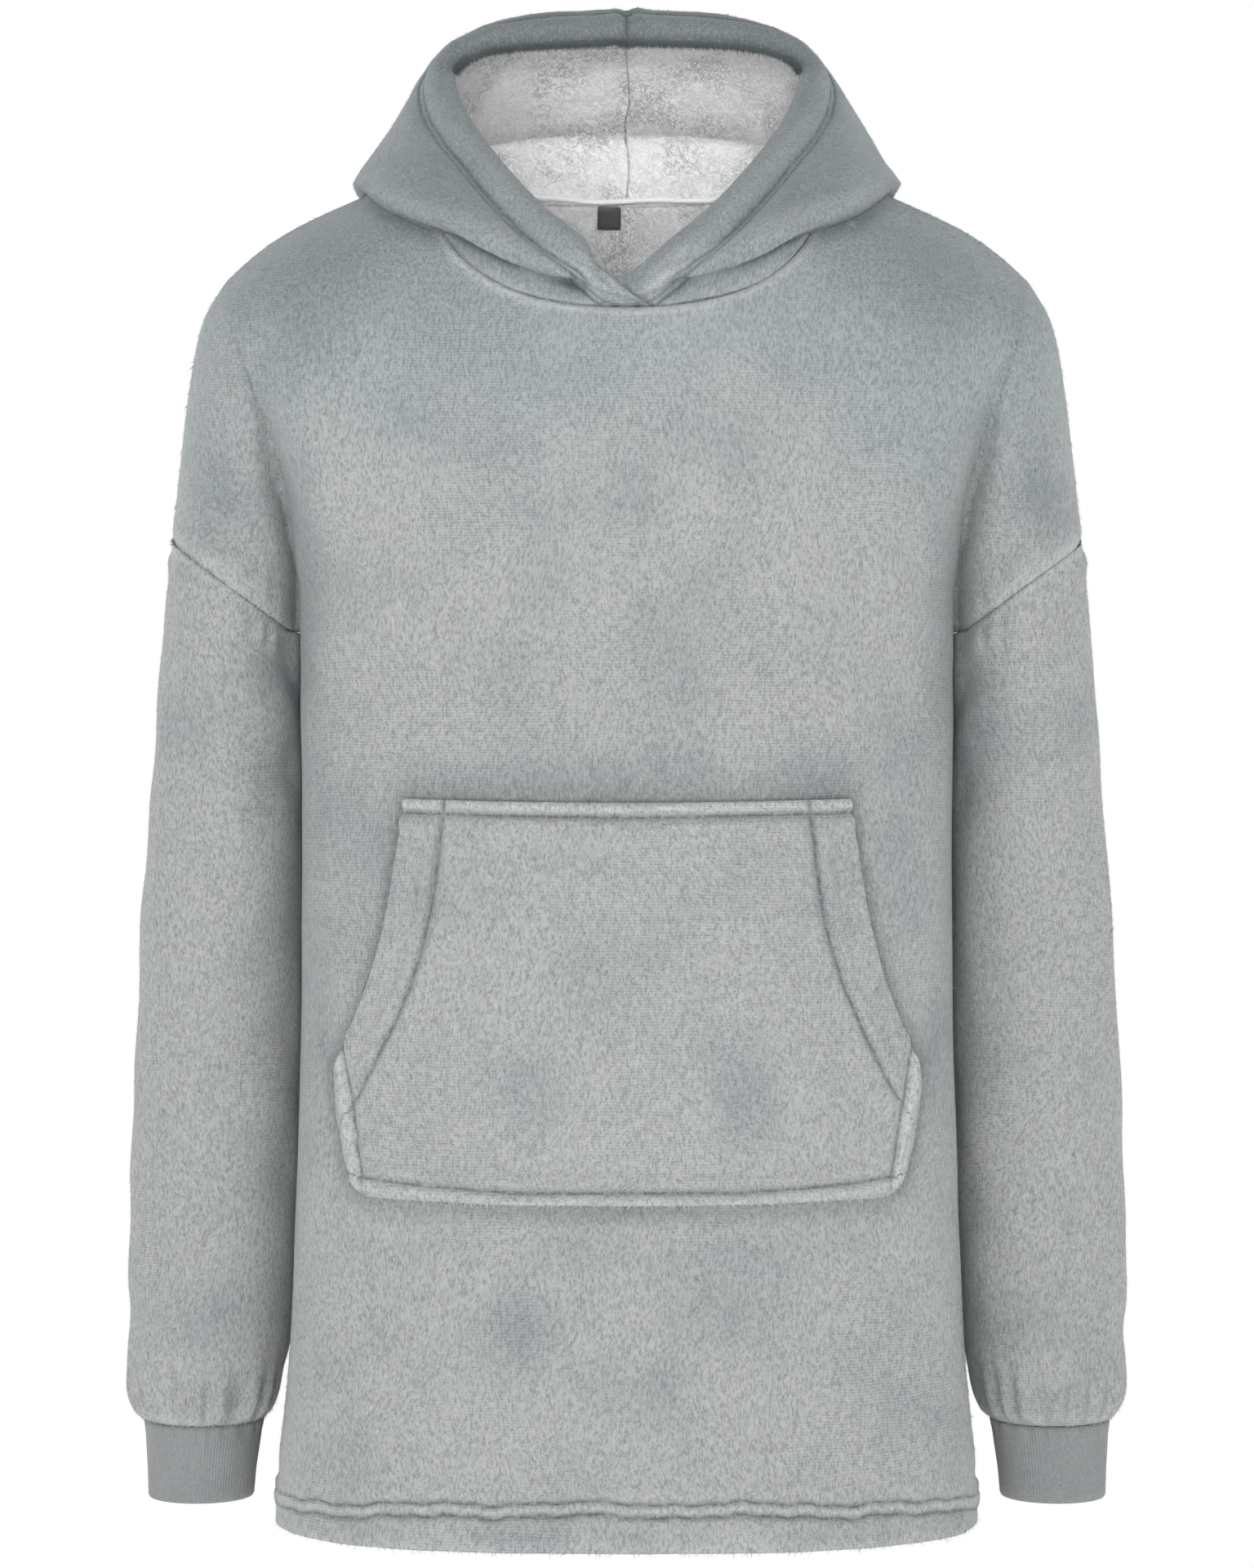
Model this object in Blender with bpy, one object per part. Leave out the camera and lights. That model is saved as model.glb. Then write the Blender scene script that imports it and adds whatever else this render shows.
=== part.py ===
# Oversized hooded blanket sweatshirt, filled out as if worn, with no wearer.
# Metres, +Z up. The front faces -Y and the wearer's left is +X.
# The origin is in the middle of the neck, level with the neck points of the two shoulders.

import math
from collections import namedtuple

import bpy
import numpy as np

# Cloth, in metres
BODY_WALL = 0.0025
HOOD_WALL = 0.0018
LINING_WALL = 0.0018
CUFF_WALL = 0.0018
SEAM_GAP = 0.0003
HALF_GAP = SEAM_GAP / 2
FOLD_THICKENING = 3.5
HOOD_FOLD_THICKENING = 2.2
FOLD_DAMPING = 0.01

# Neck opening
NECK_HALF_WIDTH = 0.128
NECK_FRONT_DROP = 0.108
NECK_BACK_DROP = 0.015
NECK_CURVE_POWER = 2.6
NECK_HALF_DEPTH = 0.1
NECK_DIRECTION_LIMIT = 0.6

# Body
HEM_Z = -0.875
ARMPIT_X = 0.2109
ARMPIT_Z = -0.305
ARMPIT_WEB = 0.0052
ARMPIT_SLIT = 0.0008
CAP_SEAM_X = ARMPIT_X + ARMPIT_WEB
BODY_ROUND_POWER = 2.6
SHOULDER_ROUND_NECK = 0.135
SHOULDER_ROUND_ARM = 0.105
SHOULDER_ROUND_POWER = 1.75
SHOULDER_ROUND_BLEND_X = 0.24
PINCH_START_Z = -0.09
CAP_DEPTH_FRONT = 0.056
CAP_DEPTH_BACK = 0.058

# Grid of the panels: columns on one side of the middle, and rows
NECK_COLUMNS = 8
NECK_SAMPLES = 120
RIDGE_COLUMNS = 4
SIDE_COLUMNS = NECK_COLUMNS + RIDGE_COLUMNS
CAP_COLUMNS = 8
CAP_EVEN_ROWS = 2
UPPER_ROWS = 9
LOWER_ROWS = 13
ROW_EASE = 1.3
SHOULDER_SAMPLES = 6
NECK_RISE_SAMPLES = 12
ARM_LINE_SAMPLES = 24

# Where the armhole crease and the shoulder cap start, as shares of the shoulder line's length
CREASE_START = 0.467
CAP_START = 0.53

Outline = namedtuple("Outline", "x z")
SHOULDER_LINE = [
    Outline(0.1280, 0.0000),
    Outline(0.1600, -0.0170),
    Outline(0.1998, -0.0339),
    Outline(0.2332, -0.0509),
    Outline(0.2528, -0.0678),
    Outline(0.2661, -0.0848),
    Outline(0.2761, -0.1060),
    Outline(0.2820, -0.1325),
    Outline(0.2889, -0.1855),
    Outline(0.2955, -0.2460),
]
CAP_SEAM_SLOPE = (SHOULDER_LINE[-1].z - ARMPIT_Z) / (SHOULDER_LINE[-1].x - CAP_SEAM_X)
# The shoulder line carried on over the neck, which the rounding of the shoulders is measured from
NECK_RISE = [Outline(0.0, 0.030), Outline(0.064, 0.021)]

Crease = namedtuple("Crease", "z x")
ARMHOLE_CREASE = [
    Crease(-0.3050, 0.2109),
    Crease(-0.2555, 0.2147),
    Crease(-0.2226, 0.2194),
    Crease(-0.1844, 0.2263),
    Crease(-0.1516, 0.2358),
    Crease(-0.1277, 0.2454),
    Crease(-0.0700, 0.2600),
]

Section = namedtuple("Section", "z side front back")
BODY_SECTIONS = [
    Section(-0.875, 0.2290, 0.1410, 0.1340),
    Section(-0.840, 0.2262, 0.1400, 0.1330),
    Section(-0.795, 0.2205, 0.1385, 0.1315),
    Section(-0.740, 0.2172, 0.1370, 0.1300),
    Section(-0.689, 0.2152, 0.1355, 0.1285),
    Section(-0.583, 0.2118, 0.1335, 0.1265),
    Section(-0.450, 0.2106, 0.1310, 0.1255),
    Section(-0.305, 0.2109, 0.1275, 0.1250),
    Section(-0.200, 0.2109, 0.1230, 0.1230),
    Section(-0.108, 0.2109, 0.1150, 0.1190),
    Section(0.030, 0.2109, 0.1120, 0.1140),
]

# Colours, linear
PLUSH_GREY = (0.33, 0.37, 0.38)
PILE_WHITE = (0.80, 0.81, 0.80)
RIB_GREY = (0.36, 0.37, 0.375)
TAB_GREY = (0.06, 0.065, 0.07)


def smooth_value(rows, key, column, at):
    """Value of one column of a table at a key, on a smooth curve through its rows."""
    keys = np.array([getattr(row, key) for row in rows])
    values = np.array([getattr(row, column) for row in rows], dtype=float)
    slopes = np.gradient(values, keys, axis=0)
    index = int(np.clip(np.searchsorted(keys, at) - 1, 0, len(keys) - 2))
    span = keys[index + 1] - keys[index]
    t = min(max((at - keys[index]) / span, 0.0), 1.0)
    start_weight = 2 * t ** 3 - 3 * t ** 2 + 1
    start_slope_weight = t ** 3 - 2 * t ** 2 + t
    end_slope_weight = t ** 3 - t ** 2
    value = start_weight * values[index] + (1 - start_weight) * values[index + 1]
    value = value + start_slope_weight * span * slopes[index] + end_slope_weight * span * slopes[index + 1]
    return value


def smooth_line(points, samples):
    """Points on a smooth curve through a few points, with a number of samples for each stretch."""
    points = np.array(points, dtype=float)
    lengths = np.linalg.norm(np.diff(points, axis=0), axis=1)
    keys = np.concatenate([[0.0], np.cumsum(lengths)])
    slopes = np.gradient(points, keys, axis=0)
    reach = np.minimum(np.append(lengths, lengths[-1]), np.insert(lengths, 0, lengths[0]))
    line = []
    for index, count in enumerate(samples):
        for step in range(count):
            t = step / count
            start_weight = 2 * t ** 3 - 3 * t ** 2 + 1
            point = start_weight * points[index] + (1 - start_weight) * points[index + 1]
            point = point + (t ** 3 - 2 * t ** 2 + t) * reach[index] * slopes[index]
            point = point + (t ** 3 - t ** 2) * reach[index + 1] * slopes[index + 1]
            line.append(point)
    line.append(points[-1])
    return np.array(line)


def mix(start, end, share):
    return start + (end - start) * share


def ease(share):
    share = min(max(share, 0.0), 1.0)
    return share * share * (3 - 2 * share)


def unit(vector):
    vector = np.array(vector, dtype=float)
    return vector / max(np.linalg.norm(vector), 1e-9)


def quads_of_grid(ids, turned=False):
    """Faces of a grid of vertex numbers. Rows run down and columns run to the viewer's right."""
    faces = []
    for upper, lower in zip(ids[:-1], ids[1:]):
        for column in range(len(upper) - 1):
            face = [upper[column], lower[column], lower[column + 1], upper[column + 1]]
            if turned:
                face.reverse()
            faces.append(face)
    return faces


def vertex_normals(points, faces):
    normals = np.zeros_like(points)
    for face in faces:
        corners = points[face]
        normal = np.zeros(3)
        for index in range(1, len(face) - 1):
            normal += np.cross(corners[index] - corners[0], corners[index + 1] - corners[0])
        for corner in face:
            normals[corner] += normal
    lengths = np.linalg.norm(normals, axis=1)
    return normals / np.maximum(lengths, 1e-12)[:, None]


def make_material(name, colour):
    material = bpy.data.materials.new(name)
    material.use_nodes = True
    shader = material.node_tree.nodes["Principled BSDF"]
    shader.inputs["Base Color"].default_value = (*colour, 1.0)
    shader.inputs["Roughness"].default_value = 0.9
    shader.inputs["Metallic"].default_value = 0.0
    material.diffuse_color = (*colour, 1.0)
    return material


def make_solid(name, points, faces, colour):
    mesh = bpy.data.meshes.new(name)
    mesh.from_pydata([tuple(point) for point in points], [], faces)
    mesh.validate()
    mesh.shade_smooth()
    mesh.set_sharp_from_angle(angle=math.radians(50))
    mesh.materials.append(make_material(name, colour))
    solid = bpy.data.objects.new(name, mesh)
    bpy.context.collection.objects.link(solid)
    return solid


def split_quads(points, faces):
    """Triangles of the faces, each quad cut along its shorter diagonal."""
    triangles = []
    for face in faces:
        if len(face) == 3:
            triangles.append(list(face))
            continue
        a, b, c, d = face
        if np.linalg.norm(points[a] - points[c]) <= np.linalg.norm(points[b] - points[d]):
            triangles += [[a, b, c], [a, c, d]]
        else:
            triangles += [[a, b, d], [b, c, d]]
    return triangles


def even_directions(points, faces, limit):
    """Outward direction at each point, longer at folds, so that a wall keeps its thickness there."""
    spreads = np.zeros((len(points), 3, 3))
    sums = np.zeros_like(points)
    for face in split_quads(points, faces):
        for turn in range(3):
            here, after, before = face[turn], face[(turn + 1) % 3], face[(turn + 2) % 3]
            first = unit(points[after] - points[here])
            second = unit(points[before] - points[here])
            normal = unit(np.cross(first, second))
            angle = math.acos(min(max(float(np.dot(first, second)), -1.0), 1.0))
            spreads[here] += angle * np.outer(normal, normal)
            sums[here] += angle * normal
    directions = np.zeros_like(points)
    for index, spread in enumerate(spreads):
        damping = FOLD_DAMPING * np.trace(spread) * np.eye(3)
        direction = np.linalg.solve(spread + damping, sums[index])
        length = np.linalg.norm(direction)
        directions[index] = direction * min(max(length, 1.0), limit) / length
    return directions


def make_wall(name, outer, inner, faces, colour):
    """Closed wall between an outer surface and an inner one with the same faces."""
    count = len(outer)
    faces = split_quads(outer, faces)
    points = np.concatenate([outer, inner])
    solid_faces = [list(face) for face in faces]
    edges = set()
    for face in faces:
        solid_faces.append([corner + count for corner in reversed(face)])
        for start, end in zip(face, face[1:] + face[:1]):
            edges.add((start, end))
    for start, end in sorted(edges):
        if (end, start) not in edges:
            solid_faces.append([end, start, start + count, end + count])
    return make_solid(name, points, solid_faces, colour)


# Shape of the body

def shoulder_samples():
    stretches = [SHOULDER_SAMPLES] * (len(SHOULDER_LINE) - 1)
    return smooth_line([(stop.x, stop.z) for stop in SHOULDER_LINE], stretches)


SHOULDER_POINTS = shoulder_samples()
SHOULDER_LENGTHS = np.concatenate(
    [[0.0], np.cumsum(np.linalg.norm(np.diff(SHOULDER_POINTS, axis=0), axis=1))]
)
SLEEVE_LINE_END = (0.3085, -0.371)


def ridge_samples():
    """The whole upper outline, from over the middle of the neck to the upper arm."""
    neck_point = (NECK_HALF_WIDTH, 0.0)
    rise_samples = [NECK_RISE_SAMPLES] * len(NECK_RISE)
    rise = smooth_line([(stop.x, stop.z) for stop in NECK_RISE] + [neck_point], rise_samples)
    arm = smooth_line([tuple(SHOULDER_POINTS[-1]), SLEEVE_LINE_END], [ARM_LINE_SAMPLES])
    return np.concatenate([rise[:-1], SHOULDER_POINTS, arm[1:]])


RIDGE_POINTS = ridge_samples()


def shoulder_point(share):
    """Point of the shoulder line at a share of its length."""
    length = share * SHOULDER_LENGTHS[-1]
    x = np.interp(length, SHOULDER_LENGTHS, SHOULDER_POINTS[:, 0])
    z = np.interp(length, SHOULDER_LENGTHS, SHOULDER_POINTS[:, 1])
    return np.array([x, z])


def distance_to_ridge(x, z):
    starts = RIDGE_POINTS[:-1]
    runs = np.diff(RIDGE_POINTS, axis=0)
    offsets = np.array([abs(x), z]) - starts
    shares = np.clip(np.sum(offsets * runs, axis=1) / np.sum(runs * runs, axis=1), 0, 1)
    nearest = starts + runs * shares[:, None]
    return float(np.min(np.linalg.norm(np.array([abs(x), z]) - nearest, axis=1)))


def crease_x(z):
    return float(smooth_value(ARMHOLE_CREASE, "z", "x", z))


def half_depth(z, side):
    return float(smooth_value(BODY_SECTIONS, "z", side, z))


def half_width(z):
    if z > ARMPIT_Z:
        return crease_x(z)
    return float(smooth_value(BODY_SECTIONS, "z", "side", z))


def pinch(z):
    """How far the armhole crease has parted the body from the arm at a height."""
    return ease((PINCH_START_Z - z) / (PINCH_START_Z - ARMPIT_Z))


def wide_depth(x, z, side):
    """Depth of the shoulders, where body and arms are still one form."""
    reach = mix(SHOULDER_ROUND_NECK, SHOULDER_ROUND_ARM, ease(abs(x) / SHOULDER_ROUND_BLEND_X))
    share = 1 - min(distance_to_ridge(x, z) / reach, 1.0)
    return half_depth(z, side) * (1 - share ** SHOULDER_ROUND_POWER) ** (1 / SHOULDER_ROUND_POWER)


def body_depth(x, z, side):
    """Depth of the outer face of the front or back, measured from the plane of the side seams."""
    share = min(abs(x) / half_width(z), 1.0)
    round_body = half_depth(z, side) * (1 - share ** BODY_ROUND_POWER) ** (1 / BODY_ROUND_POWER)
    parted = pinch(z)
    if parted >= 1:
        return round_body
    return mix(wide_depth(x, z, side), round_body, parted)


def neck_height(x, drop):
    """Height of the neck seam at a distance from the middle."""
    share = min(abs(x) / NECK_HALF_WIDTH, 1.0)
    return -drop * (1 - share ** NECK_CURVE_POWER) ** (1 / NECK_CURVE_POWER)


def neck_stops(side, drop):
    """Neck seam in x and z, evenly spaced along the seam, from the middle to the neck point."""
    curve = []
    for step in range(NECK_SAMPLES + 1):
        x = NECK_HALF_WIDTH * math.sin(math.pi / 2 * step / NECK_SAMPLES)
        z = neck_height(x, drop)
        depth = wide_depth(x, z, side) if step < NECK_SAMPLES else 0.0
        curve.append((x, depth, z))
    curve = np.array(curve)
    lengths = np.concatenate([[0.0], np.cumsum(np.linalg.norm(np.diff(curve, axis=0), axis=1))])
    stops = np.linspace(0, lengths[-1], NECK_COLUMNS + 1)
    return np.column_stack([np.interp(stops, lengths, curve[:, 0]), np.interp(stops, lengths, curve[:, 2])])


def panel_tops(side, drop):
    ridge = [shoulder_point(CREASE_START * step / RIDGE_COLUMNS) for step in range(1, RIDGE_COLUMNS + 1)]
    return list(neck_stops(side, drop)) + ridge


def upper_row(share, tops):
    """One row of the body above the armpit, in x and z, from the middle to the armhole crease."""
    crease_top = shoulder_point(CREASE_START)
    crease_z = mix(crease_top[1], ARMPIT_Z, share)
    bow = crease_x(crease_z) - mix(crease_top[0], ARMPIT_X, share)
    if share == 0:
        bow = 0.0
    row = []
    for column in range(SIDE_COLUMNS + 1):
        out = math.sin(math.pi / 2 * column / SIDE_COLUMNS)
        top = tops[column]
        row.append((mix(top[0], ARMPIT_X * out, share) + bow * out ** 3, mix(top[1], ARMPIT_Z, share)))
    return row


def cap_angle(column):
    return math.pi * column / CAP_COLUMNS


def cap_seam_normal(column, depth):
    """Outward direction in the slanted plane of the seam between the shoulder cap and the sleeve."""
    half = (SHOULDER_LINE[-1].x - CAP_SEAM_X) / 2
    angle = cap_angle(column)
    out, away, _ = unit((-math.cos(angle) / half, math.sin(angle) / depth, 0.0))
    return np.array([out, away, out * CAP_SEAM_SLOPE])


def make_panel(side):
    """Points, faces and wall directions of the front or the back."""
    front = side == "front"
    sign = -1 if front else 1
    drop = NECK_FRONT_DROP if front else NECK_BACK_DROP
    cap_depth = CAP_DEPTH_FRONT if front else CAP_DEPTH_BACK
    tops = panel_tops(side, drop)
    points = []
    fixed = {}

    def add(x, depth, z, direction=None):
        points.append((x, sign * (depth + HALF_GAP), z))
        if direction is not None:
            fixed[len(points) - 1] = direction
        return len(points) - 1

    shares = [(row / UPPER_ROWS) ** ROW_EASE for row in range(UPPER_ROWS + 1)]
    columns = range(-SIDE_COLUMNS, SIDE_COLUMNS + 1)
    body = []
    for row, share in enumerate(shares):
        line = upper_row(share, tops)
        ids = []
        for column in columns:
            x, z = line[abs(column)]
            depth = body_depth(x, z, side)
            kind = None
            if row == 0 and abs(column) >= NECK_COLUMNS:
                depth = 0.0
                kind = "ridge"
            if row == UPPER_ROWS and abs(column) == SIDE_COLUMNS:
                depth = ARMPIT_SLIT
                kind = "side"
            ids.append(add(math.copysign(x, column), depth, z, kind))
        body.append(ids)
    neck = body[0][RIDGE_COLUMNS:-RIDGE_COLUMNS]
    for row in range(1, LOWER_ROWS + 1):
        z = mix(ARMPIT_Z, HEM_Z, row / LOWER_ROWS)
        ids = []
        for column in columns:
            out = math.sin(math.pi / 2 * column / SIDE_COLUMNS)
            x = half_width(z) * out
            kind = None
            depth = body_depth(x, z, side)
            if row == LOWER_ROWS:
                kind = "hem"
            if abs(column) == SIDE_COLUMNS:
                depth = 0.0
                kind = "side"
            ids.append(add(x, depth, z, kind))
        body.append(ids)
    faces = quads_of_grid(body, turned=not front)

    for hand in (-1, 1):
        end = 0 if hand < 0 else -1
        cap = []
        for row, share in enumerate(shares):
            crease_id = body[row][end]
            crease = points[crease_id]
            outer = shoulder_point(mix(CAP_START, 1.0, share))
            parted = pinch(crease[2])
            ids = [crease_id]
            if row == UPPER_ROWS:
                web_direction = cap_seam_normal(0, cap_depth) * (hand, sign, 1)
                ids = [add(hand * CAP_SEAM_X, ARMPIT_SLIT, ARMPIT_Z, web_direction)]
                crease = points[ids[0]]
            for column in range(1, CAP_COLUMNS + 1):
                angle = cap_angle(column)
                out = mix(column / CAP_COLUMNS, (1 - math.cos(angle)) / 2, min(row / CAP_EVEN_ROWS, 1))
                x = mix(abs(crease[0]), outer[0], out)
                z = mix(crease[2], outer[1], out)
                bulge = cap_depth * math.sin(angle)
                depth = mix(wide_depth(x, z, side), bulge, parted)
                kind = None
                if row == 0 or column == CAP_COLUMNS:
                    depth = 0.0
                    kind = "ridge"
                if row == UPPER_ROWS:
                    kind = cap_seam_normal(column, cap_depth) * (hand, sign, 1)
                ids.append(add(hand * x, depth, z, kind))
            cap.append(ids)
        turned = (not front) != (hand < 0)
        faces += quads_of_grid(cap, turned=turned)
        web = [body[UPPER_ROWS - 1][end], body[UPPER_ROWS][end], cap[-1][0]]
        if turned:
            web.reverse()
        faces.append(web)
    return np.array(points), faces, fixed, neck, body


def wall_directions(points, faces, fixed):
    """Outward direction at each point, kept flat along the ridge, the side seams and the hem."""
    normals = even_directions(points, faces, FOLD_THICKENING)
    for index, kind in fixed.items():
        if isinstance(kind, str):
            if kind in ("ridge", "side"):
                normals[index][1] = 0.0
            if kind == "side":
                normals[index] = (math.copysign(1, points[index][0]), 0.0, 0.0)
            if kind == "hem":
                normals[index][2] = 0.0
            normals[index] = unit(normals[index])
        else:
            normals[index] = kind
    return normals


def neck_directions(points, normals, neck):
    """Direction of the seam's own plane at each neck point, half way between body and hood."""
    directions = []
    for index in neck:
        x, y, _ = points[index]
        level = unit((x / NECK_HALF_WIDTH ** 2, y / NECK_HALF_DEPTH ** 2, 0.0))
        middle = unit(normals[index] + level)
        directions.append(middle / max(float(np.dot(middle, normals[index])), NECK_DIRECTION_LIMIT))
    return directions


def inner_face(points, directions, distance, sign):
    """Points moved in through the wall, held on their own side of the side-seam plane."""
    inner = points - directions * distance
    limit = HALF_GAP
    inner[:, 1] = np.where(sign * inner[:, 1] < limit, sign * limit, inner[:, 1])
    return inner


def make_body():
    """Front and back walls. Gives back what the neighbours need."""
    made = {}
    for side, sign in (("front", -1), ("back", 1)):
        points, faces, fixed, neck, body = make_panel(side)
        directions = wall_directions(points, faces, fixed)
        for index, direction in zip(neck, neck_directions(points, directions, neck)):
            directions[index] = direction
        inner = inner_face(points, directions, BODY_WALL, sign)
        make_wall(side, points, inner, faces, PLUSH_GREY)
        made[side] = {"points": points, "directions": directions, "neck": neck, "body": body}
    return made


# Sleeves and cuffs

Ring = namedtuple("Ring", "z_out z_in x_in x_out y_middle front back")
SLEEVE_RINGS = [
    Ring(-0.2464, -0.3054, 0.2161, 0.2955, 0.000, 0.0560, 0.0580),
    Ring(-0.3180, -0.3520, 0.2118, 0.3037, 0.006, 0.0590, 0.0600),
    Ring(-0.3980, -0.4140, 0.2110, 0.3110, 0.014, 0.0590, 0.0600),
    Ring(-0.5000, -0.5080, 0.2109, 0.3190, 0.022, 0.0570, 0.0580),
    Ring(-0.6000, -0.6040, 0.2117, 0.3247, 0.027, 0.0550, 0.0560),
    Ring(-0.6890, -0.6900, 0.2142, 0.3280, 0.030, 0.0530, 0.0540),
    Ring(-0.7500, -0.7500, 0.2168, 0.3300, 0.030, 0.0520, 0.0520),
    Ring(-0.7850, -0.7850, 0.2218, 0.3295, 0.030, 0.0500, 0.0500),
    Ring(-0.8060, -0.8060, 0.2300, 0.3262, 0.030, 0.0465, 0.0465),
    Ring(-0.8165, -0.8165, 0.2350, 0.3212, 0.030, 0.0422, 0.0422),
    Ring(-0.8190, -0.8190, 0.2385, 0.3170, 0.030, 0.0385, 0.0385),
]
SLEEVE_ROWS = [2, 2, 2, 2, 1, 1, 1, 1, 1, 1]

CUFF_RINGS = [
    Ring(-0.8193, -0.8193, 0.2385, 0.3170, 0.030, 0.0385, 0.0385),
    Ring(-0.8330, -0.8330, 0.2403, 0.3163, 0.030, 0.0372, 0.0372),
    Ring(-0.8520, -0.8520, 0.2432, 0.3152, 0.030, 0.0358, 0.0358),
    Ring(-0.8700, -0.8700, 0.2446, 0.3148, 0.030, 0.0352, 0.0352),
]
CUFF_RIBS = 56
CUFF_RIB_HEIGHT = 0.0005
CUFF_INNER_POINTS = CUFF_RIBS // 2


def ring_points(ring, count, hand):
    """Points round a sleeve or cuff, from its inner side over the front, the outer side and the back."""
    points = []
    for index in range(count):
        angle = 2 * math.pi * index / count
        out = (1 - math.cos(angle)) / 2
        depth = ring.front if index < count / 2 else ring.back
        x = mix(ring.x_in, ring.x_out, out)
        z = mix(ring.z_in, ring.z_out, out)
        points.append((hand * x, ring.y_middle - depth * math.sin(angle), z))
    return points


def ring_directions(ring, count, hand):
    """Outward directions round a ring, in the ring's own plane."""
    half = (ring.x_out - ring.x_in) / 2
    slope = (ring.z_out - ring.z_in) / (ring.x_out - ring.x_in)
    directions = []
    for index in range(count):
        angle = 2 * math.pi * index / count
        depth = ring.front if index < count / 2 else ring.back
        out, away, _ = unit((-math.cos(angle) / half, -math.sin(angle) / depth, 0.0))
        directions.append(np.array([hand * out, away, out * slope]))
    return directions


def tube_faces(rings, count, turned):
    ids = [[ring * count + index % count for index in range(count + 1)] for ring in range(rings)]
    return quads_of_grid(ids, turned=turned)


def make_sleeve(name, hand):
    count = 2 * CAP_COLUMNS
    rings = [Ring(*values) for values in smooth_line(SLEEVE_RINGS, SLEEVE_ROWS)]
    points = np.array([point for ring in rings for point in ring_points(ring, count, hand)])
    faces = tube_faces(len(rings), count, turned=hand < 0)
    directions = vertex_normals(points, faces)
    directions[:count] = ring_directions(rings[0], count, hand)
    directions[-count:] = ring_directions(rings[-1], count, hand)
    make_wall(name, points, points - directions * BODY_WALL, faces, PLUSH_GREY)


def make_cuff(name, hand):
    """Rib cuff: ribs raised on the outside over a plain inside."""
    outer_count = 2 * CUFF_RIBS
    spread = outer_count // CUFF_INNER_POINTS
    points = []
    for ring in CUFF_RINGS:
        base = ring_points(ring, outer_count, hand)
        for index, direction in enumerate(ring_directions(ring, outer_count, hand)):
            points.append(np.array(base[index]) + direction * CUFF_RIB_HEIGHT * (index % 2))
    inner_start = len(points)
    for ring in CUFF_RINGS:
        base = ring_points(ring, CUFF_INNER_POINTS, hand)
        for point, direction in zip(base, ring_directions(ring, CUFF_INNER_POINTS, hand)):
            points.append(np.array(point) - direction * CUFF_WALL)
    turned = hand < 0
    faces = tube_faces(len(CUFF_RINGS), outer_count, turned)
    for face in tube_faces(len(CUFF_RINGS), CUFF_INNER_POINTS, not turned):
        faces.append([corner + inner_start for corner in face])
    last = len(CUFF_RINGS) - 1
    for ring, flipped in ((0, turned), (last, not turned)):
        for index in range(CUFF_INNER_POINTS):
            here = inner_start + ring * CUFF_INNER_POINTS + index
            after = inner_start + ring * CUFF_INNER_POINTS + (index + 1) % CUFF_INNER_POINTS
            rim = [ring * outer_count + (index * spread + step) % outer_count for step in range(spread + 1)]
            fans = [[here, rim[step], rim[step + 1]] for step in range(spread // 2)]
            fans += [[after, rim[step], rim[step + 1]] for step in range(spread // 2, spread)]
            fans.append([here, rim[spread // 2], after])
            for fan in fans:
                faces.append(fan[::-1] if flipped else fan)
    make_solid(name, points, faces, RIB_GREY)


# Hood

Fold = namedtuple("Fold", "station rim band crown flare lip under rise lean")
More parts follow.
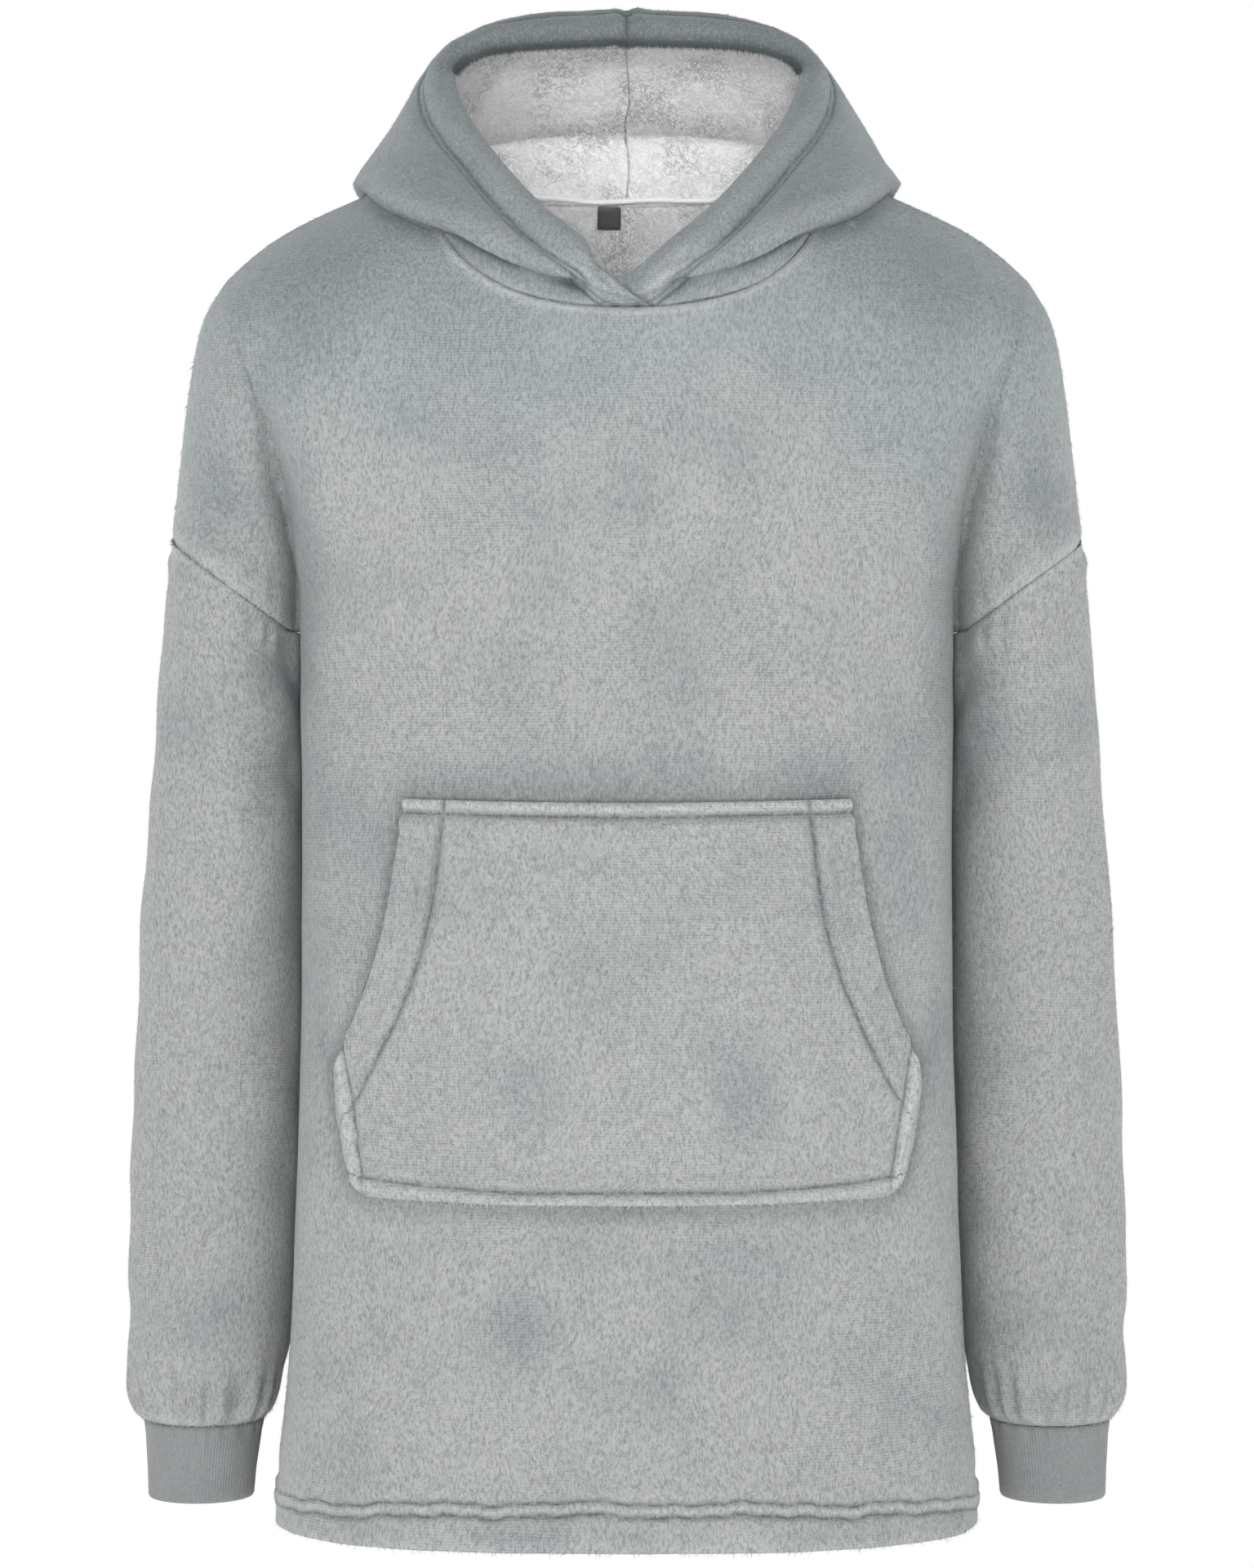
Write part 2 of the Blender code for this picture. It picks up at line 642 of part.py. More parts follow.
# Outer face of one hood half. Station 0 is the middle of the front, 8 the neck point, 16 the middle of the back.
# Rise and lean place the top of the stand over the neck seam, lean being towards the middle of the neck.
HOOD_FOLDS = [
    Fold(0, (0, -0.1180, -0.0840), (0, -0.1195, -0.0880), (0, -0.1195, -0.0910), (0, -0.1190, -0.0940),
         (0, -0.1185, -0.0970), (0, -0.1175, -0.1000), 0.0035, -0.001),
    Fold(2, (0.0360, -0.1040, -0.0580), (0.0480, -0.1150, -0.0730), (0.0515, -0.1200, -0.0770),
         (0.0540, -0.1235, -0.0815), (0.0565, -0.1220, -0.0885), (0.0568, -0.1145, -0.0868), 0.0080, 0.001),
    Fold(4, (0.0640, -0.0770, -0.0270), (0.0790, -0.0890, -0.0430), (0.0870, -0.0995, -0.0475),
         (0.0960, -0.1090, -0.0540), (0.1035, -0.1110, -0.0640), (0.1050, -0.1015, -0.0618), 0.0030, 0.001),
    Fold(6, (0.0875, -0.0430, 0.0040), (0.1020, -0.0550, -0.0080), (0.1165, -0.0635, -0.0140),
         (0.1320, -0.0720, -0.0220), (0.1450, -0.0795, -0.0360), (0.1420, -0.0790, -0.0480), 0.0025, -0.004),
    Fold(7, (0.0990, -0.0240, 0.0220), (0.1155, -0.0300, 0.0160), (0.1315, -0.0340, 0.0085),
         (0.1500, -0.0405, -0.0035), (0.1655, -0.0455, -0.0225), (0.1600, -0.0480, -0.0350), 0.0025, -0.004),
    Fold(8, (0.1095, -0.0020, 0.0460), (0.1290, 0.0020, 0.0410), (0.1445, 0.0040, 0.0280),
         (0.1640, 0.0020, 0.0060), (0.1795, -0.0010, -0.0105), (0.1705, -0.0010, -0.0180), 0.0030, -0.004),
    Fold(10, (0.1110, 0.0220, 0.0680), (0.1250, 0.0330, 0.0770), (0.1380, 0.0560, 0.0640),
         (0.1640, 0.0740, 0.0180), (0.1720, 0.0780, -0.0180), (0.1620, 0.0720, -0.0330), 0.0160, -0.007),
    Fold(12, (0.0900, 0.0300, 0.0800), (0.0970, 0.0470, 0.0980), (0.1120, 0.0880, 0.0940),
         (0.1380, 0.1320, 0.0350), (0.1350, 0.1380, -0.0400), (0.1190, 0.1200, -0.0600), 0.0320, -0.013),
    Fold(14, (0.0500, 0.0370, 0.0850), (0.0530, 0.0540, 0.1080), (0.0600, 0.1050, 0.1100),
         (0.0790, 0.1800, 0.0450), (0.0760, 0.1870, -0.0600), (0.0650, 0.1600, -0.0820), 0.0420, -0.017),
    Fold(16, (0, 0.0400, 0.0866), (0, 0.0560, 0.1110), (0, 0.1080, 0.1150), (0, 0.1960, 0.0480),
         (0, 0.2050, -0.0650), (0, 0.1740, -0.0900), 0.0450, -0.019),
]
HOOD_STATIONS = 2 * NECK_COLUMNS
HOOD_ROWS = [1, 1, 2, 2, 2, 2, 2, 3]
HOOD_FLARE_ROW = sum(HOOD_ROWS[:5])
HOOD_BAND_ROW = sum(HOOD_ROWS[:7])
HOOD_RIDGE_SPREAD = 0.32
HOOD_RIDGE_START = 0.005
HOOD_RIDGE_FULL = 0.02
HOOD_LIP_TURN = 0.3
HOOD_BAND_SWELL = 0.0030
HOOD_SEAM_LIFT = 1.3 * SEAM_GAP
HOOD_CROSSING_STATION = 3
HOOD_CROSSING_POWER = 1.5
HOOD_OVERLAP = 0.012
HOOD_OVERLAP_STANDOFF = 0.009
HOOD_OVERLAP_LIFT = 0.0012
HOOD_REST_CLEARANCE = 0.003
HOOD_REST_MARGIN = 0.004
LINING_START_STATION = 1
LINING_PULL = 0.3
LINING_STRAIGHT_STATION = 8
LINING_BOWL_STATION = 12
LINING_BOW = 0.004


def neck_seam(body_parts):
    """Neck seam points and directions at each hood station, on the wearer's left."""
    points = []
    directions = []
    for side in ("front", "back"):
        part = body_parts[side]
        columns = range(NECK_COLUMNS + 1) if side == "front" else range(NECK_COLUMNS - 1, -1, -1)
        for column in columns:
            index = part["neck"][NECK_COLUMNS + column]
            points.append(part["points"][index])
            directions.append(part["directions"][index])
    points[NECK_COLUMNS] = points[NECK_COLUMNS] * (1, 0, 1)
    for middle in (0, HOOD_STATIONS):
        directions[middle] = directions[middle] * (0, 1, 1)
    return np.array(points), np.array(directions)


def hood_seam_start(point, direction):
    """Bottom edge of the hood, just over the body's neck edge."""
    across = unit(direction)
    upward = unit(np.array((0.0, 0.0, 1.0)) - across * across[2])
    return point + upward * HOOD_SEAM_LIFT


def hood_profile(station, seam):
    """Points from the neck seam, over the stand and round the lip, to the rim at one station."""
    fold = {name: smooth_value(HOOD_FOLDS, "station", name, station) for name in Fold._fields[1:]}
    inward = -unit((seam[0] / NECK_HALF_WIDTH ** 2, seam[1] / NECK_HALF_DEPTH ** 2, 0.0))
    stand = seam + inward * fold["lean"] + np.array((0.0, 0.0, fold["rise"]))
    ridge = ease((fold["rise"] - HOOD_RIDGE_START) / (HOOD_RIDGE_FULL - HOOD_RIDGE_START))
    over = mix(mix(stand, fold["under"], HOOD_LIP_TURN), stand - inward * HOOD_RIDGE_SPREAD * fold["rise"], ridge)
    stops = [seam, stand, over]
    stops += [fold[name] for name in ("under", "lip", "flare", "crown", "band", "rim")]
    return smooth_line(stops, HOOD_ROWS), mix(stand, fold["flare"], 0.5)


def lay_on_shoulder(profile):
    """Keeps the folds that lie over the front of the shoulders just clear of the body."""
    for point in profile[2:]:
        x, y, z = point
        ridge_z = np.interp(x, RIDGE_POINTS[:, 0], RIDGE_POINTS[:, 1])
        if y < 0 and z < min(ridge_z, neck_height(x, NECK_FRONT_DROP) + HOOD_REST_MARGIN):
            point[1] = min(y, -wide_depth(x, z, "front") - HOOD_REST_CLEARANCE)


def hood_surface(body_parts, hand):
    """Outer points of one hood half, with its faces, directions, rows at each station and hollow."""
    seam, seam_directions = neck_seam(body_parts)
    ids = []
    points = []
    hollow = []
    for station in range(HOOD_STATIONS + 1):
        start = hood_seam_start(seam[station], seam_directions[station])
        profile, inside = hood_profile(station, start)
        profile[:, 0] = np.maximum(profile[:, 0], HALF_GAP)
        if station == HOOD_STATIONS:
            profile[:, 0] = HALF_GAP
        lay_on_shoulder(profile)
        crossing = hood_crossing(station)
        profile[:, 0] -= HOOD_OVERLAP * crossing
        if hand < 0:
            profile[:, 1] -= HOOD_OVERLAP_STANDOFF * crossing
        profile[:, 2] += HOOD_OVERLAP_LIFT * crossing
        profile[:, 0] *= hand
        ids.append(list(range(len(points), len(points) + len(profile))))
        points += list(profile)
        hollow.append(inside * (hand, 1, 1))
    points = np.array(points)
    faces = quads_of_grid(hood_grid(ids), turned=hand < 0)
    directions = hood_directions(points, faces, ids, seam_directions, hand)
    return points, faces, directions, ids, hollow


def hood_crossing(station):
    """How far the two halves cross each other at the front."""
    return max(1 - station / HOOD_CROSSING_STATION, 0) ** HOOD_CROSSING_POWER


def hood_grid(ids):
    return [list(line) for line in zip(*ids)][::-1]


def hood_directions(points, faces, ids, seam_directions, hand):
    directions = even_directions(points, faces, HOOD_FOLD_THICKENING)
    for index in ids[-1]:
        directions[index] = unit(directions[index] * (0, 1, 1))
    for station, line in enumerate(ids):
        directions[line[0]] = seam_directions[station] * (hand, 1, 1)
    return directions


def make_hood_half(body_parts, name, hand):
    points, faces, directions, ids, _ = hood_surface(body_parts, hand)
    inner = points - directions * HOOD_WALL
    band_rows = HOOD_ROWS[-1]
    for station, line in enumerate(ids):
        swell = HOOD_BAND_SWELL * (1 - hood_crossing(station))
        for step in range(1, band_rows):
            index = line[-1 - band_rows + step]
            points[index] += directions[index] * swell * math.sin(math.pi * step / band_rows)
    make_wall(name, points, inner, faces, PLUSH_GREY)


def lining_pull(row):
    """How far the lining stays out of the fold of the lip at a row."""
    stand_row = HOOD_ROWS[0]
    share = (row - stand_row) / (HOOD_FLARE_ROW - stand_row)
    return LINING_PULL * math.sin(math.pi * min(max(share, 0.0), 1.0))


def make_hood_lining_half(body_parts, name, hand):
    """Lining made from the hood's own points moved in, cutting the corner inside the lip."""
    points, _, directions, ids, hollow = hood_surface(body_parts, hand)
    outer = points - directions * (HOOD_WALL + SEAM_GAP)
    for station, (line, inside) in enumerate(zip(ids, hollow)):
        bowl = ease((station - LINING_STRAIGHT_STATION) / (LINING_BOWL_STATION - LINING_STRAIGHT_STATION))
        stand_point, band_point = outer[line[1]], outer[line[HOOD_BAND_ROW]]
        for row in range(2, HOOD_BAND_ROW):
            loose = mix(outer[line[row]], inside, lining_pull(row))
            share = (row - 1) / (HOOD_BAND_ROW - 1)
            bow = -unit(directions[line[0]] * (1, 1, 0)) * LINING_BOW * math.sin(math.pi * share)
            straight = mix(stand_point, band_point, share) + bow
            outer[line[row]] = mix(straight, loose, bowl)
    kept = [line[:-1] for line in ids[LINING_START_STATION:]]
    faces = split_quads(points, quads_of_grid(hood_grid(kept), turned=hand < 0))
    order = {index: place for place, index in enumerate(sum(kept, []))}
    outer = outer[sum(kept, [])]
    faces = [[order[corner] for corner in face] for face in faces]
    rows = len(kept[0])
    moved = even_directions(outer, faces, HOOD_FOLD_THICKENING)
    moved[::rows] = [directions[line[0]] for line in kept]
    moved[-rows:] = [unit(direction * (0, 1, 1)) for direction in moved[-rows:]]
    make_wall(name, outer, outer - moved * LINING_WALL, faces, PILE_WHITE)


# Lining of the upper back, and the size tab on it

BACK_LINING_ROWS = 7
TAB_WALL = 0.0008
TAB_COLUMN = NECK_COLUMNS - 1
TAB_ACROSS = (0.05, 0.8)
TAB_DOWN = (0.05, 0.83)
TAB_CUTS = 2


def make_back_lining(body_parts):
    """Lining made from the back's own points moved in. Gives back its inner points, row by row."""
    back = body_parts["back"]
    rows = [line[RIDGE_COLUMNS:-RIDGE_COLUMNS] for line in back["body"][:BACK_LINING_ROWS]]
    kept = sum(rows, [])
    order = {index: place for place, index in enumerate(kept)}
    faces = split_quads(back["points"], quads_of_grid(rows, turned=True))
    faces = [[order[corner] for corner in face] for face in faces]
    points = back["points"][kept]
    directions = back["directions"][kept]
    outer = inner_face(points, directions, BODY_WALL + SEAM_GAP, 1)
    inner = inner_face(points, directions, BODY_WALL + SEAM_GAP + LINING_WALL, 1)
    make_wall("back_lining", outer, inner, faces, PILE_WHITE)
    return inner.reshape(len(rows), -1, 3)


def make_size_label(lining):
    """Tab lying on the lining just under the neck seam, beside the middle."""
    corners = lining[:2, TAB_COLUMN:TAB_COLUMN + 2]
    across = corners[0, 1] - corners[0, 0]
    down = corners[1, 0] - corners[0, 0]
    forward = unit(np.cross(down, across))
    if forward[1] > 0:
        forward = -forward
    points = []
    for down_step in range(TAB_CUTS + 1):
        for across_step in range(TAB_CUTS + 1):
            s = mix(*TAB_ACROSS, across_step / TAB_CUTS)
            t = mix(*TAB_DOWN, down_step / TAB_CUTS)
            upper = mix(corners[0, 0], corners[0, 1], s)
            lower = mix(corners[1, 0], corners[1, 1], s)
            points.append(mix(upper, lower, t) + forward * (SEAM_GAP + TAB_WALL))
    points = np.array(points)
    width = TAB_CUTS + 1
    ids = [[row * width + column for column in range(width)] for row in range(width)]
    make_wall("size_label", points, points - forward * TAB_WALL, quads_of_grid(ids), TAB_GREY)


# Pouch pocket

PocketEdge = namedtuple("PocketEdge", "z half")
POCKET_EDGES = [
    PocketEdge(-0.6595, 0.1610),
    PocketEdge(-0.6515, 0.1700),
    PocketEdge(-0.6350, 0.1760),
    PocketEdge(-0.6050, 0.1800),
    PocketEdge(-0.5800, 0.1826),
    PocketEdge(-0.5665, 0.1762),
    PocketEdge(-0.5410, 0.1635),
    PocketEdge(-0.5130, 0.1540),
    PocketEdge(-0.4880, 0.1480),
    PocketEdge(-0.4528, 0.1419),
    PocketEdge(-0.4120, 0.1370),
]
POCKET_SAG = 0.0025
POCKET_OFFSET = 0.0009
POCKET_OPENING_LIFT = 0.0022
POCKET_OPENING_SPAN = 0.62
POCKET_OPENING_POWER = 6
POCKET_PUFF = 0.002
SLOPE_STEP = 0.002

# Turned edges: distance in from the edge and height over the plain panel
TurnedEdge = namedtuple("TurnedEdge", "inset height")
OPENING_BAND = [
    TurnedEdge(0.0, 0.0004),
    TurnedEdge(0.005, 0.0012),
    TurnedEdge(0.020, 0.0012),
    TurnedEdge(0.024, -0.0005),
]
TOP_BAND = [TurnedEdge(0.0, 0.0004), TurnedEdge(0.004, 0.0012), TurnedEdge(0.011, -0.0005)]
BOTTOM_BAND = [TurnedEdge(0.0, 0.0003), TurnedEdge(0.0085, -0.0005)]
POCKET_MIDDLE_COLUMNS = 5
POCKET_MIDDLE_ROWS = 7


def front_depth(x, z):
    return body_depth(x, z, "front")


def front_point(x, z, height):
    """Point over the outer face of the front."""
    slope_x = (front_depth(x + SLOPE_STEP, z) - front_depth(x - SLOPE_STEP, z)) / (2 * SLOPE_STEP)
    slope_z = (front_depth(x, z + SLOPE_STEP) - front_depth(x, z - SLOPE_STEP)) / (2 * SLOPE_STEP)
    outward = unit((-slope_x, -1.0, -slope_z))
    return np.array((x, -front_depth(x, z) - HALF_GAP, z)) + outward * height


def pocket_rows():
    """Height and relief of each row of the pocket, from the top edge down."""
    top, bottom = POCKET_EDGES[-1].z, POCKET_EDGES[0].z
    rows = [(top - edge.inset, edge.height) for edge in TOP_BAND]
    start, end = rows[-1][0], bottom + BOTTOM_BAND[-1].inset
    rows += [(mix(start, end, step / POCKET_MIDDLE_ROWS), 0.0) for step in range(1, POCKET_MIDDLE_ROWS)]
    rows += [(bottom + edge.inset, edge.height) for edge in reversed(BOTTOM_BAND)]
    return rows


def make_pocket():
    rows = pocket_rows()
    top, bottom = rows[0][0], rows[-1][0]
    outer = []
    inner = []
    for z, row_height in rows:
        half = float(smooth_value(POCKET_EDGES, "z", "half", z))
        shift = (top - z) / (top - bottom)
        middle = half - OPENING_BAND[-1].inset
        insets = [(edge.inset, edge.height) for edge in OPENING_BAND]
        for step in range(1, POCKET_MIDDLE_COLUMNS):
            insets.append((half - middle * (1 - step / POCKET_MIDDLE_COLUMNS), 0.0))
        insets.append((half, 0.0))
        stops = [(-(half - inset), height) for inset, height in insets]
        stops += [(-x, height) for x, height in reversed(stops[:-1])]
        for x, height in stops:
            out = abs(x) / half
            opened = math.sin(math.pi * min(shift / POCKET_OPENING_SPAN, 1.0))
            lift = POCKET_OPENING_LIFT * opened * out ** POCKET_OPENING_POWER
            puff = POCKET_PUFF * math.sin(math.pi * shift) * (1 - out ** 2)
            level = z - POCKET_SAG * (1 - out ** 2)
            base = POCKET_OFFSET + lift + puff
            relief = row_height if row_height and not height else height
            inner.append(front_point(x, level, base))
            outer.append(front_point(x, level, base + BODY_WALL + relief))
    width = len(stops)
    ids = [[row * width + column for column in range(width)] for row in range(len(rows))]
    make_wall("pocket", np.array(outer), np.array(inner), quads_of_grid(ids), PLUSH_GREY)


def clear_scene():
    for thing in list(bpy.data.objects):
        bpy.data.objects.remove(thing, do_unlink=True)


clear_scene()
body_parts = make_body()
for hand_name, hand in (("left", 1), ("right", -1)):
    make_sleeve("sleeve_" + hand_name, hand)
    make_cuff("cuff_" + hand_name, hand)
    make_hood_half(body_parts, "hood_" + hand_name, hand)
    make_hood_lining_half(body_parts, "hood_lining_" + hand_name, hand)
make_size_label(make_back_lining(body_parts))
make_pocket()
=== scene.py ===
import math

import bmesh
import bpy
import numpy as np
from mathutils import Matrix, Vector, noise
from mathutils.bvhtree import BVHTree


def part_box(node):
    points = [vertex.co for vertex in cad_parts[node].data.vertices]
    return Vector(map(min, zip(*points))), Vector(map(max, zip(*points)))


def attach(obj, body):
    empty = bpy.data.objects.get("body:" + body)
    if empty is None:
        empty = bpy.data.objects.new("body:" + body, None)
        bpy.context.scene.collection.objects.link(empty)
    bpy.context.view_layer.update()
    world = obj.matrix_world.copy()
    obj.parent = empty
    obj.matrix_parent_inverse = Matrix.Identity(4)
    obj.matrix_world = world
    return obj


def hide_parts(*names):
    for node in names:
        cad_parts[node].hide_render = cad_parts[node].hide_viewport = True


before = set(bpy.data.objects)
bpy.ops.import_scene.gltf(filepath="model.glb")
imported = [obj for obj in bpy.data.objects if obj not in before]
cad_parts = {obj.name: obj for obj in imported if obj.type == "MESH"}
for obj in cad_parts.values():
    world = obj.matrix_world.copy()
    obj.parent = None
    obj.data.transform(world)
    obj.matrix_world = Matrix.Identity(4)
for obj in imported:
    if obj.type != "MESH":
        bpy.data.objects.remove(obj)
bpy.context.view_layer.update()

# Oversized hooded blanket sweatshirt. Metres, +Z up, front to -Y, the wearer's left to +X.

body = {
    "levels": 2,
    "halfWidth": 0.21,
    "halfDepth": 0.13,
    "armpitZ": -0.305,
    "armAxis": [(-0.07, 0.262, 0.000), (-0.305, 0.262, 0.004), (-0.50, 0.266, 0.022), (-0.69, 0.272, 0.030),
                (-0.90, 0.278, 0.030)],  # z, x, y down the middle of the arm
    "creaseX": [(-0.305, 0.211), (-0.223, 0.219), (-0.152, 0.236), (-0.070, 0.260)],  # z, x
}


# Numbers

def mix(start, end, share):
    return start + (end - start) * share


def smoothStep(low, high, values):
    t = np.clip((values - low) / (high - low), 0, 1)
    return t * t * (3 - 2 * t)


def along(rows, keys, column):
    rows = sorted(rows)
    return np.interp(keys, [row[0] for row in rows], [row[column] for row in rows])


def noiseAt(points, scale, seed=0.0):
    shift = Vector((seed, seed * 1.7, seed * 0.3))
    return np.array([noise.noise(Vector(point) * scale + shift) for point in points])


def curveThrough(points, steps=8):
    points = np.array(points, dtype=float)
    padded = np.vstack([2 * points[0] - points[1], points, 2 * points[-1] - points[-2]])
    line = []
    for a, b, c, d in zip(padded, padded[1:], padded[2:], padded[3:]):
        for step in range(steps):
            t = step / steps
            line.append(0.5 * (2 * b + (c - a) * t + (2 * a - 5 * b + 4 * c - d) * t ** 2
                               + (3 * b - a - 3 * c + d) * t ** 3))
    line.append(points[-1])
    return np.array(line)


def distanceToLine(points, line):
    # nearest distance and the share of the way along the line
    best = np.full(len(points), 1e9)
    share = np.zeros(len(points))
    count = len(line) - 1
    for index in range(count):
        start, run = line[index], line[index + 1] - line[index]
        t = np.clip((points - start) @ run / max(run @ run, 1e-12), 0, 1)
        distance = np.linalg.norm(points - start - t[:, None] * run, axis=1)
        nearer = distance < best
        best[nearer] = distance[nearer]
        share[nearer] = ((index + t) / count)[nearer]
    return best, share


def signedDistance(flat, line):
    # distance in a plane, with its sign from the side of the line
    line = np.array(line, dtype=float)
    best = np.full(len(flat), 1e9)
    for start, end in zip(line[:-1], line[1:]):
        run = end - start
        offset = flat - start
        t = np.clip(offset @ run / (run @ run), 0, 1)
        distance = np.linalg.norm(offset - t[:, None] * run, axis=1)
        side = np.sign(run[0] * offset[:, 1] - run[1] * offset[:, 0])
        nearer = distance < np.abs(best)
        best[nearer] = (distance * np.where(side == 0, 1, side))[nearer]
    return best


def groove(distance, width, depth):
    return -depth * np.exp(-(distance / width) ** 2)


# Shader maths

class Shade:
    def __init__(self, tree, socket):
        self.tree, self.socket = tree, socket

    def node(self, kind, settings=None, **inputs):
        made = self.tree.nodes.new(kind)
        for name, value in (settings or {}).items():
            if name == "stops":
                ramp = made.color_ramp
                for index, (place, colour) in enumerate(value):
                    stop = ramp.elements[index] if index < 2 else ramp.elements.new(place)
                    stop.position, stop.color = place, colour
            else:
                setattr(made, name, value)
        for name, value in inputs.items():
            socket = made.inputs[int(name[1:])] if name[0] == "n" and name[1:].isdigit() else made.inputs[name.replace("_", " ")]
            if isinstance(value, Shade):
                self.tree.links.new(value.socket, socket)
            else:
                socket.default_value = value
        return made

    def out(self, kind, output, settings=None, **inputs):
        return Shade(self.tree, self.node(kind, settings, **inputs).outputs[output])

    def maths(self, operation, other=0.0, swap=False):
        first, second = (other, self) if swap else (self, other)
        return self.out("ShaderNodeMath", 0, {"operation": operation}, n0=first, n1=second)

    def __add__(self, other):
        return self.maths("ADD", other)

    __radd__ = __add__

    def __sub__(self, other):
        return self.maths("SUBTRACT", other)

    def __rsub__(self, other):
        return self.maths("SUBTRACT", other, swap=True)

    def __mul__(self, other):
        return self.maths("MULTIPLY", other)

    __rmul__ = __mul__

    def __truediv__(self, other):
        return self.maths("DIVIDE", other)

    def __pow__(self, other):
        return self.maths("POWER", other)

    def span(self, low, high, start=0.0, end=1.0):
        return self.out("ShaderNodeMapRange", 0, {"interpolation_type": "SMOOTHSTEP"}, n0=self, n1=low, n2=high, n3=start, n4=end)

    def blend(self, first, second):
        made = self.node("ShaderNodeMix", {"data_type": "RGBA"}, Factor=self, n6=first, n7=second)
        return Shade(self.tree, made.outputs[2])


def startMaterial(name, **constants):
    material = bpy.data.materials.new(name)
    material.use_nodes = True
    tree = material.node_tree
    shader = tree.nodes["Principled BSDF"]
    for socket, value in constants.items():
        shader.inputs[socket.replace("_", " ")].default_value = value
    return material, Shade(tree, None), shader


def objectPoint(shade):
    return shade.out("ShaderNodeTexCoord", "Object")


def stretched(shade, point, scale, turn=(0, 0, 0)):
    return shade.out("ShaderNodeMapping", 0, None, Vector=point, Rotation=turn, Scale=scale)


def grain(shade, point, scale, detail=2.0, rough=0.5, distortion=0.0):
    return shade.out("ShaderNodeTexNoise", 0, None, Vector=point, Scale=scale, Detail=detail, Roughness=rough,
                     Distortion=distortion)


def attribute(shade, name):
    return shade.out("ShaderNodeAttribute", "Fac", {"attribute_name": name})


def grooves(shade, point, names, width, wander):
    # sewn lines where a stored distance passes zero: a soft shade, with a thin and broken line in it
    wobble = (grain(shade, point, 90.0) - 0.5) * wander
    broken = grain(shade, point, 170.0, 2.0).span(0.38, 0.58, 0.35, 1.0)
    lines = None
    for name in names:
        away = (attribute(shade, name) + wobble).maths("ABSOLUTE")
        near = away.span(0.0, width * 2.6, 0.42, 0.0) + away.span(0.0, width, 0.58, 0.0) * broken
        lines = near if lines is None else lines.maths("MAXIMUM", near)
    return lines


plush = {
    "bodyGrey": (0.312, 0.318, 0.315, 1),
    "coolAndShadedGrey": (0.212, 0.245, 0.254, 1),
    "brushedAndShadedGrey": (0.192, 0.212, 0.218, 1),
    "paleAndLitGrey": (0.440, 0.449, 0.449, 1),
    # pitGrey is the painted shade in the pits; lineGrey colours sewn lines and painted shadow
    "pitGrey": (0.066, 0.076, 0.080, 1),
    "lineGrey": (0.042, 0.047, 0.050, 1),
    "lockSize": (620, 620, 260),
    "rowPitch": 0.00190,
    "lineWidth": 0.0011,
}


def plushTone(shade, darker):
    # grey, cooler and darker towards the shoulders, partly the cloth's cooler grey and partly painted shade on the
    # upper parts; darker in patches where the nap is brushed the other way and in patches of painted shade; paler with
    # painted highlight on rolls and puffs; and painted shadow under the hood's lips and around the pocket
    tone = attribute(shade, "coolAndShaded").blend(plush["bodyGrey"], plush["coolAndShadedGrey"])
    tone = attribute(shade, "brushedAndShaded").blend(tone, plush["brushedAndShadedGrey"])
    tone = attribute(shade, "paleAndLit").blend(tone, plush["paleAndLitGrey"])
    # painted shade: a darker copy of the grey, used for the hood
    if darker:
        tone = shade.out("ShaderNodeHueSaturation", 0, None, Value=1 - darker, Color=tone)
    return attribute(shade, "lipShadow").blend(tone, plush["lineGrey"])


def plushMaterial(name, lines=(), darker=0.0):
    material, shade, shader = startMaterial(name, Roughness=0.85, Sheen_Weight=0.30, Sheen_Roughness=0.45,
                                            Specular_IOR_Level=0.12)
    shader.inputs["Sheen Tint"].default_value = (0.84, 0.88, 0.90, 1)
    point = objectPoint(shade)
    split = shade.node("ShaderNodeSeparateXYZ", None, Vector=point)
    height = Shade(shade.tree, split.outputs[2])
    turned = shade.out("ShaderNodeVectorMath", 0, {"operation": "MULTIPLY_ADD"}, n0=shade.out(
        "ShaderNodeTexNoise", 1, None, Vector=point, Scale=11.0, Detail=1.0), n1=(0.026, 0.026, 0.026), n2=point)
    locks = grain(shade, stretched(shade, turned, plush["lockSize"], (0.0, 0.6, 0.0)), 1.0, 2.5, 0.6, 0.4)
    fine = grain(shade, stretched(shade, turned, (1300, 1300, 600)), 1.0, 2.0, 0.6)
    row = (height * (2 * math.pi / plush["rowPitch"]) + grain(shade, point, 55.0) * 10.0).maths("SINE")
    rowMask = grain(shade, point, 9.0, 2.0).span(0.42, 0.60)
    relief = locks * 0.68 + fine * 0.32 + row * rowMask * 0.05
    tone = plushTone(shade, darker)
    # painted shade in the pits between the locks and painted highlight on their tips, by the same relief as the bump
    tone = relief.span(0.34, 0.58, 0.50, 0.0).blend(tone, plush["pitGrey"])
    tone = relief.span(0.50, 0.76, 0.0, 0.26).blend(tone, plush["paleAndLitGrey"])
    lift = relief
    if lines:
        sewn = grooves(shade, point, lines, plush["lineWidth"], 0.0014)
        tone = (sewn * 0.56).blend(tone, plush["lineGrey"])
        lift = relief - sewn * 1.5
    bump = shade.node("ShaderNodeBump", None, Strength=0.85, Distance=0.0012, Height=lift)
    shade.tree.links.new(tone.socket, shader.inputs["Base Color"])
    shade.tree.links.new(bump.outputs[0], shader.inputs["Normal"])
    return material


def napMaterial(name, darker=0.0):
    # the single fibres, each a little lighter or darker than the ground
    material, shade, shader = startMaterial(name, Roughness=0.85, Sheen_Weight=0.25, Sheen_Roughness=0.4,
                                            Specular_IOR_Level=0.12)
    tone = plushTone(shade, darker)
    tint = attribute(shade, "tint")
    streak = grain(shade, objectPoint(shade), 900.0) * 0.3
    tone = (tint + streak - 0.15).span(0.15, 1.0, 0.0, 0.50).blend(tone, plush["paleAndLitGrey"])
    tone = (1 - tint).span(0.52, 1.0, 0.0, 0.70).blend(tone, plush["pitGrey"])
    shade.tree.links.new(tone.socket, shader.inputs["Base Color"])
    return material


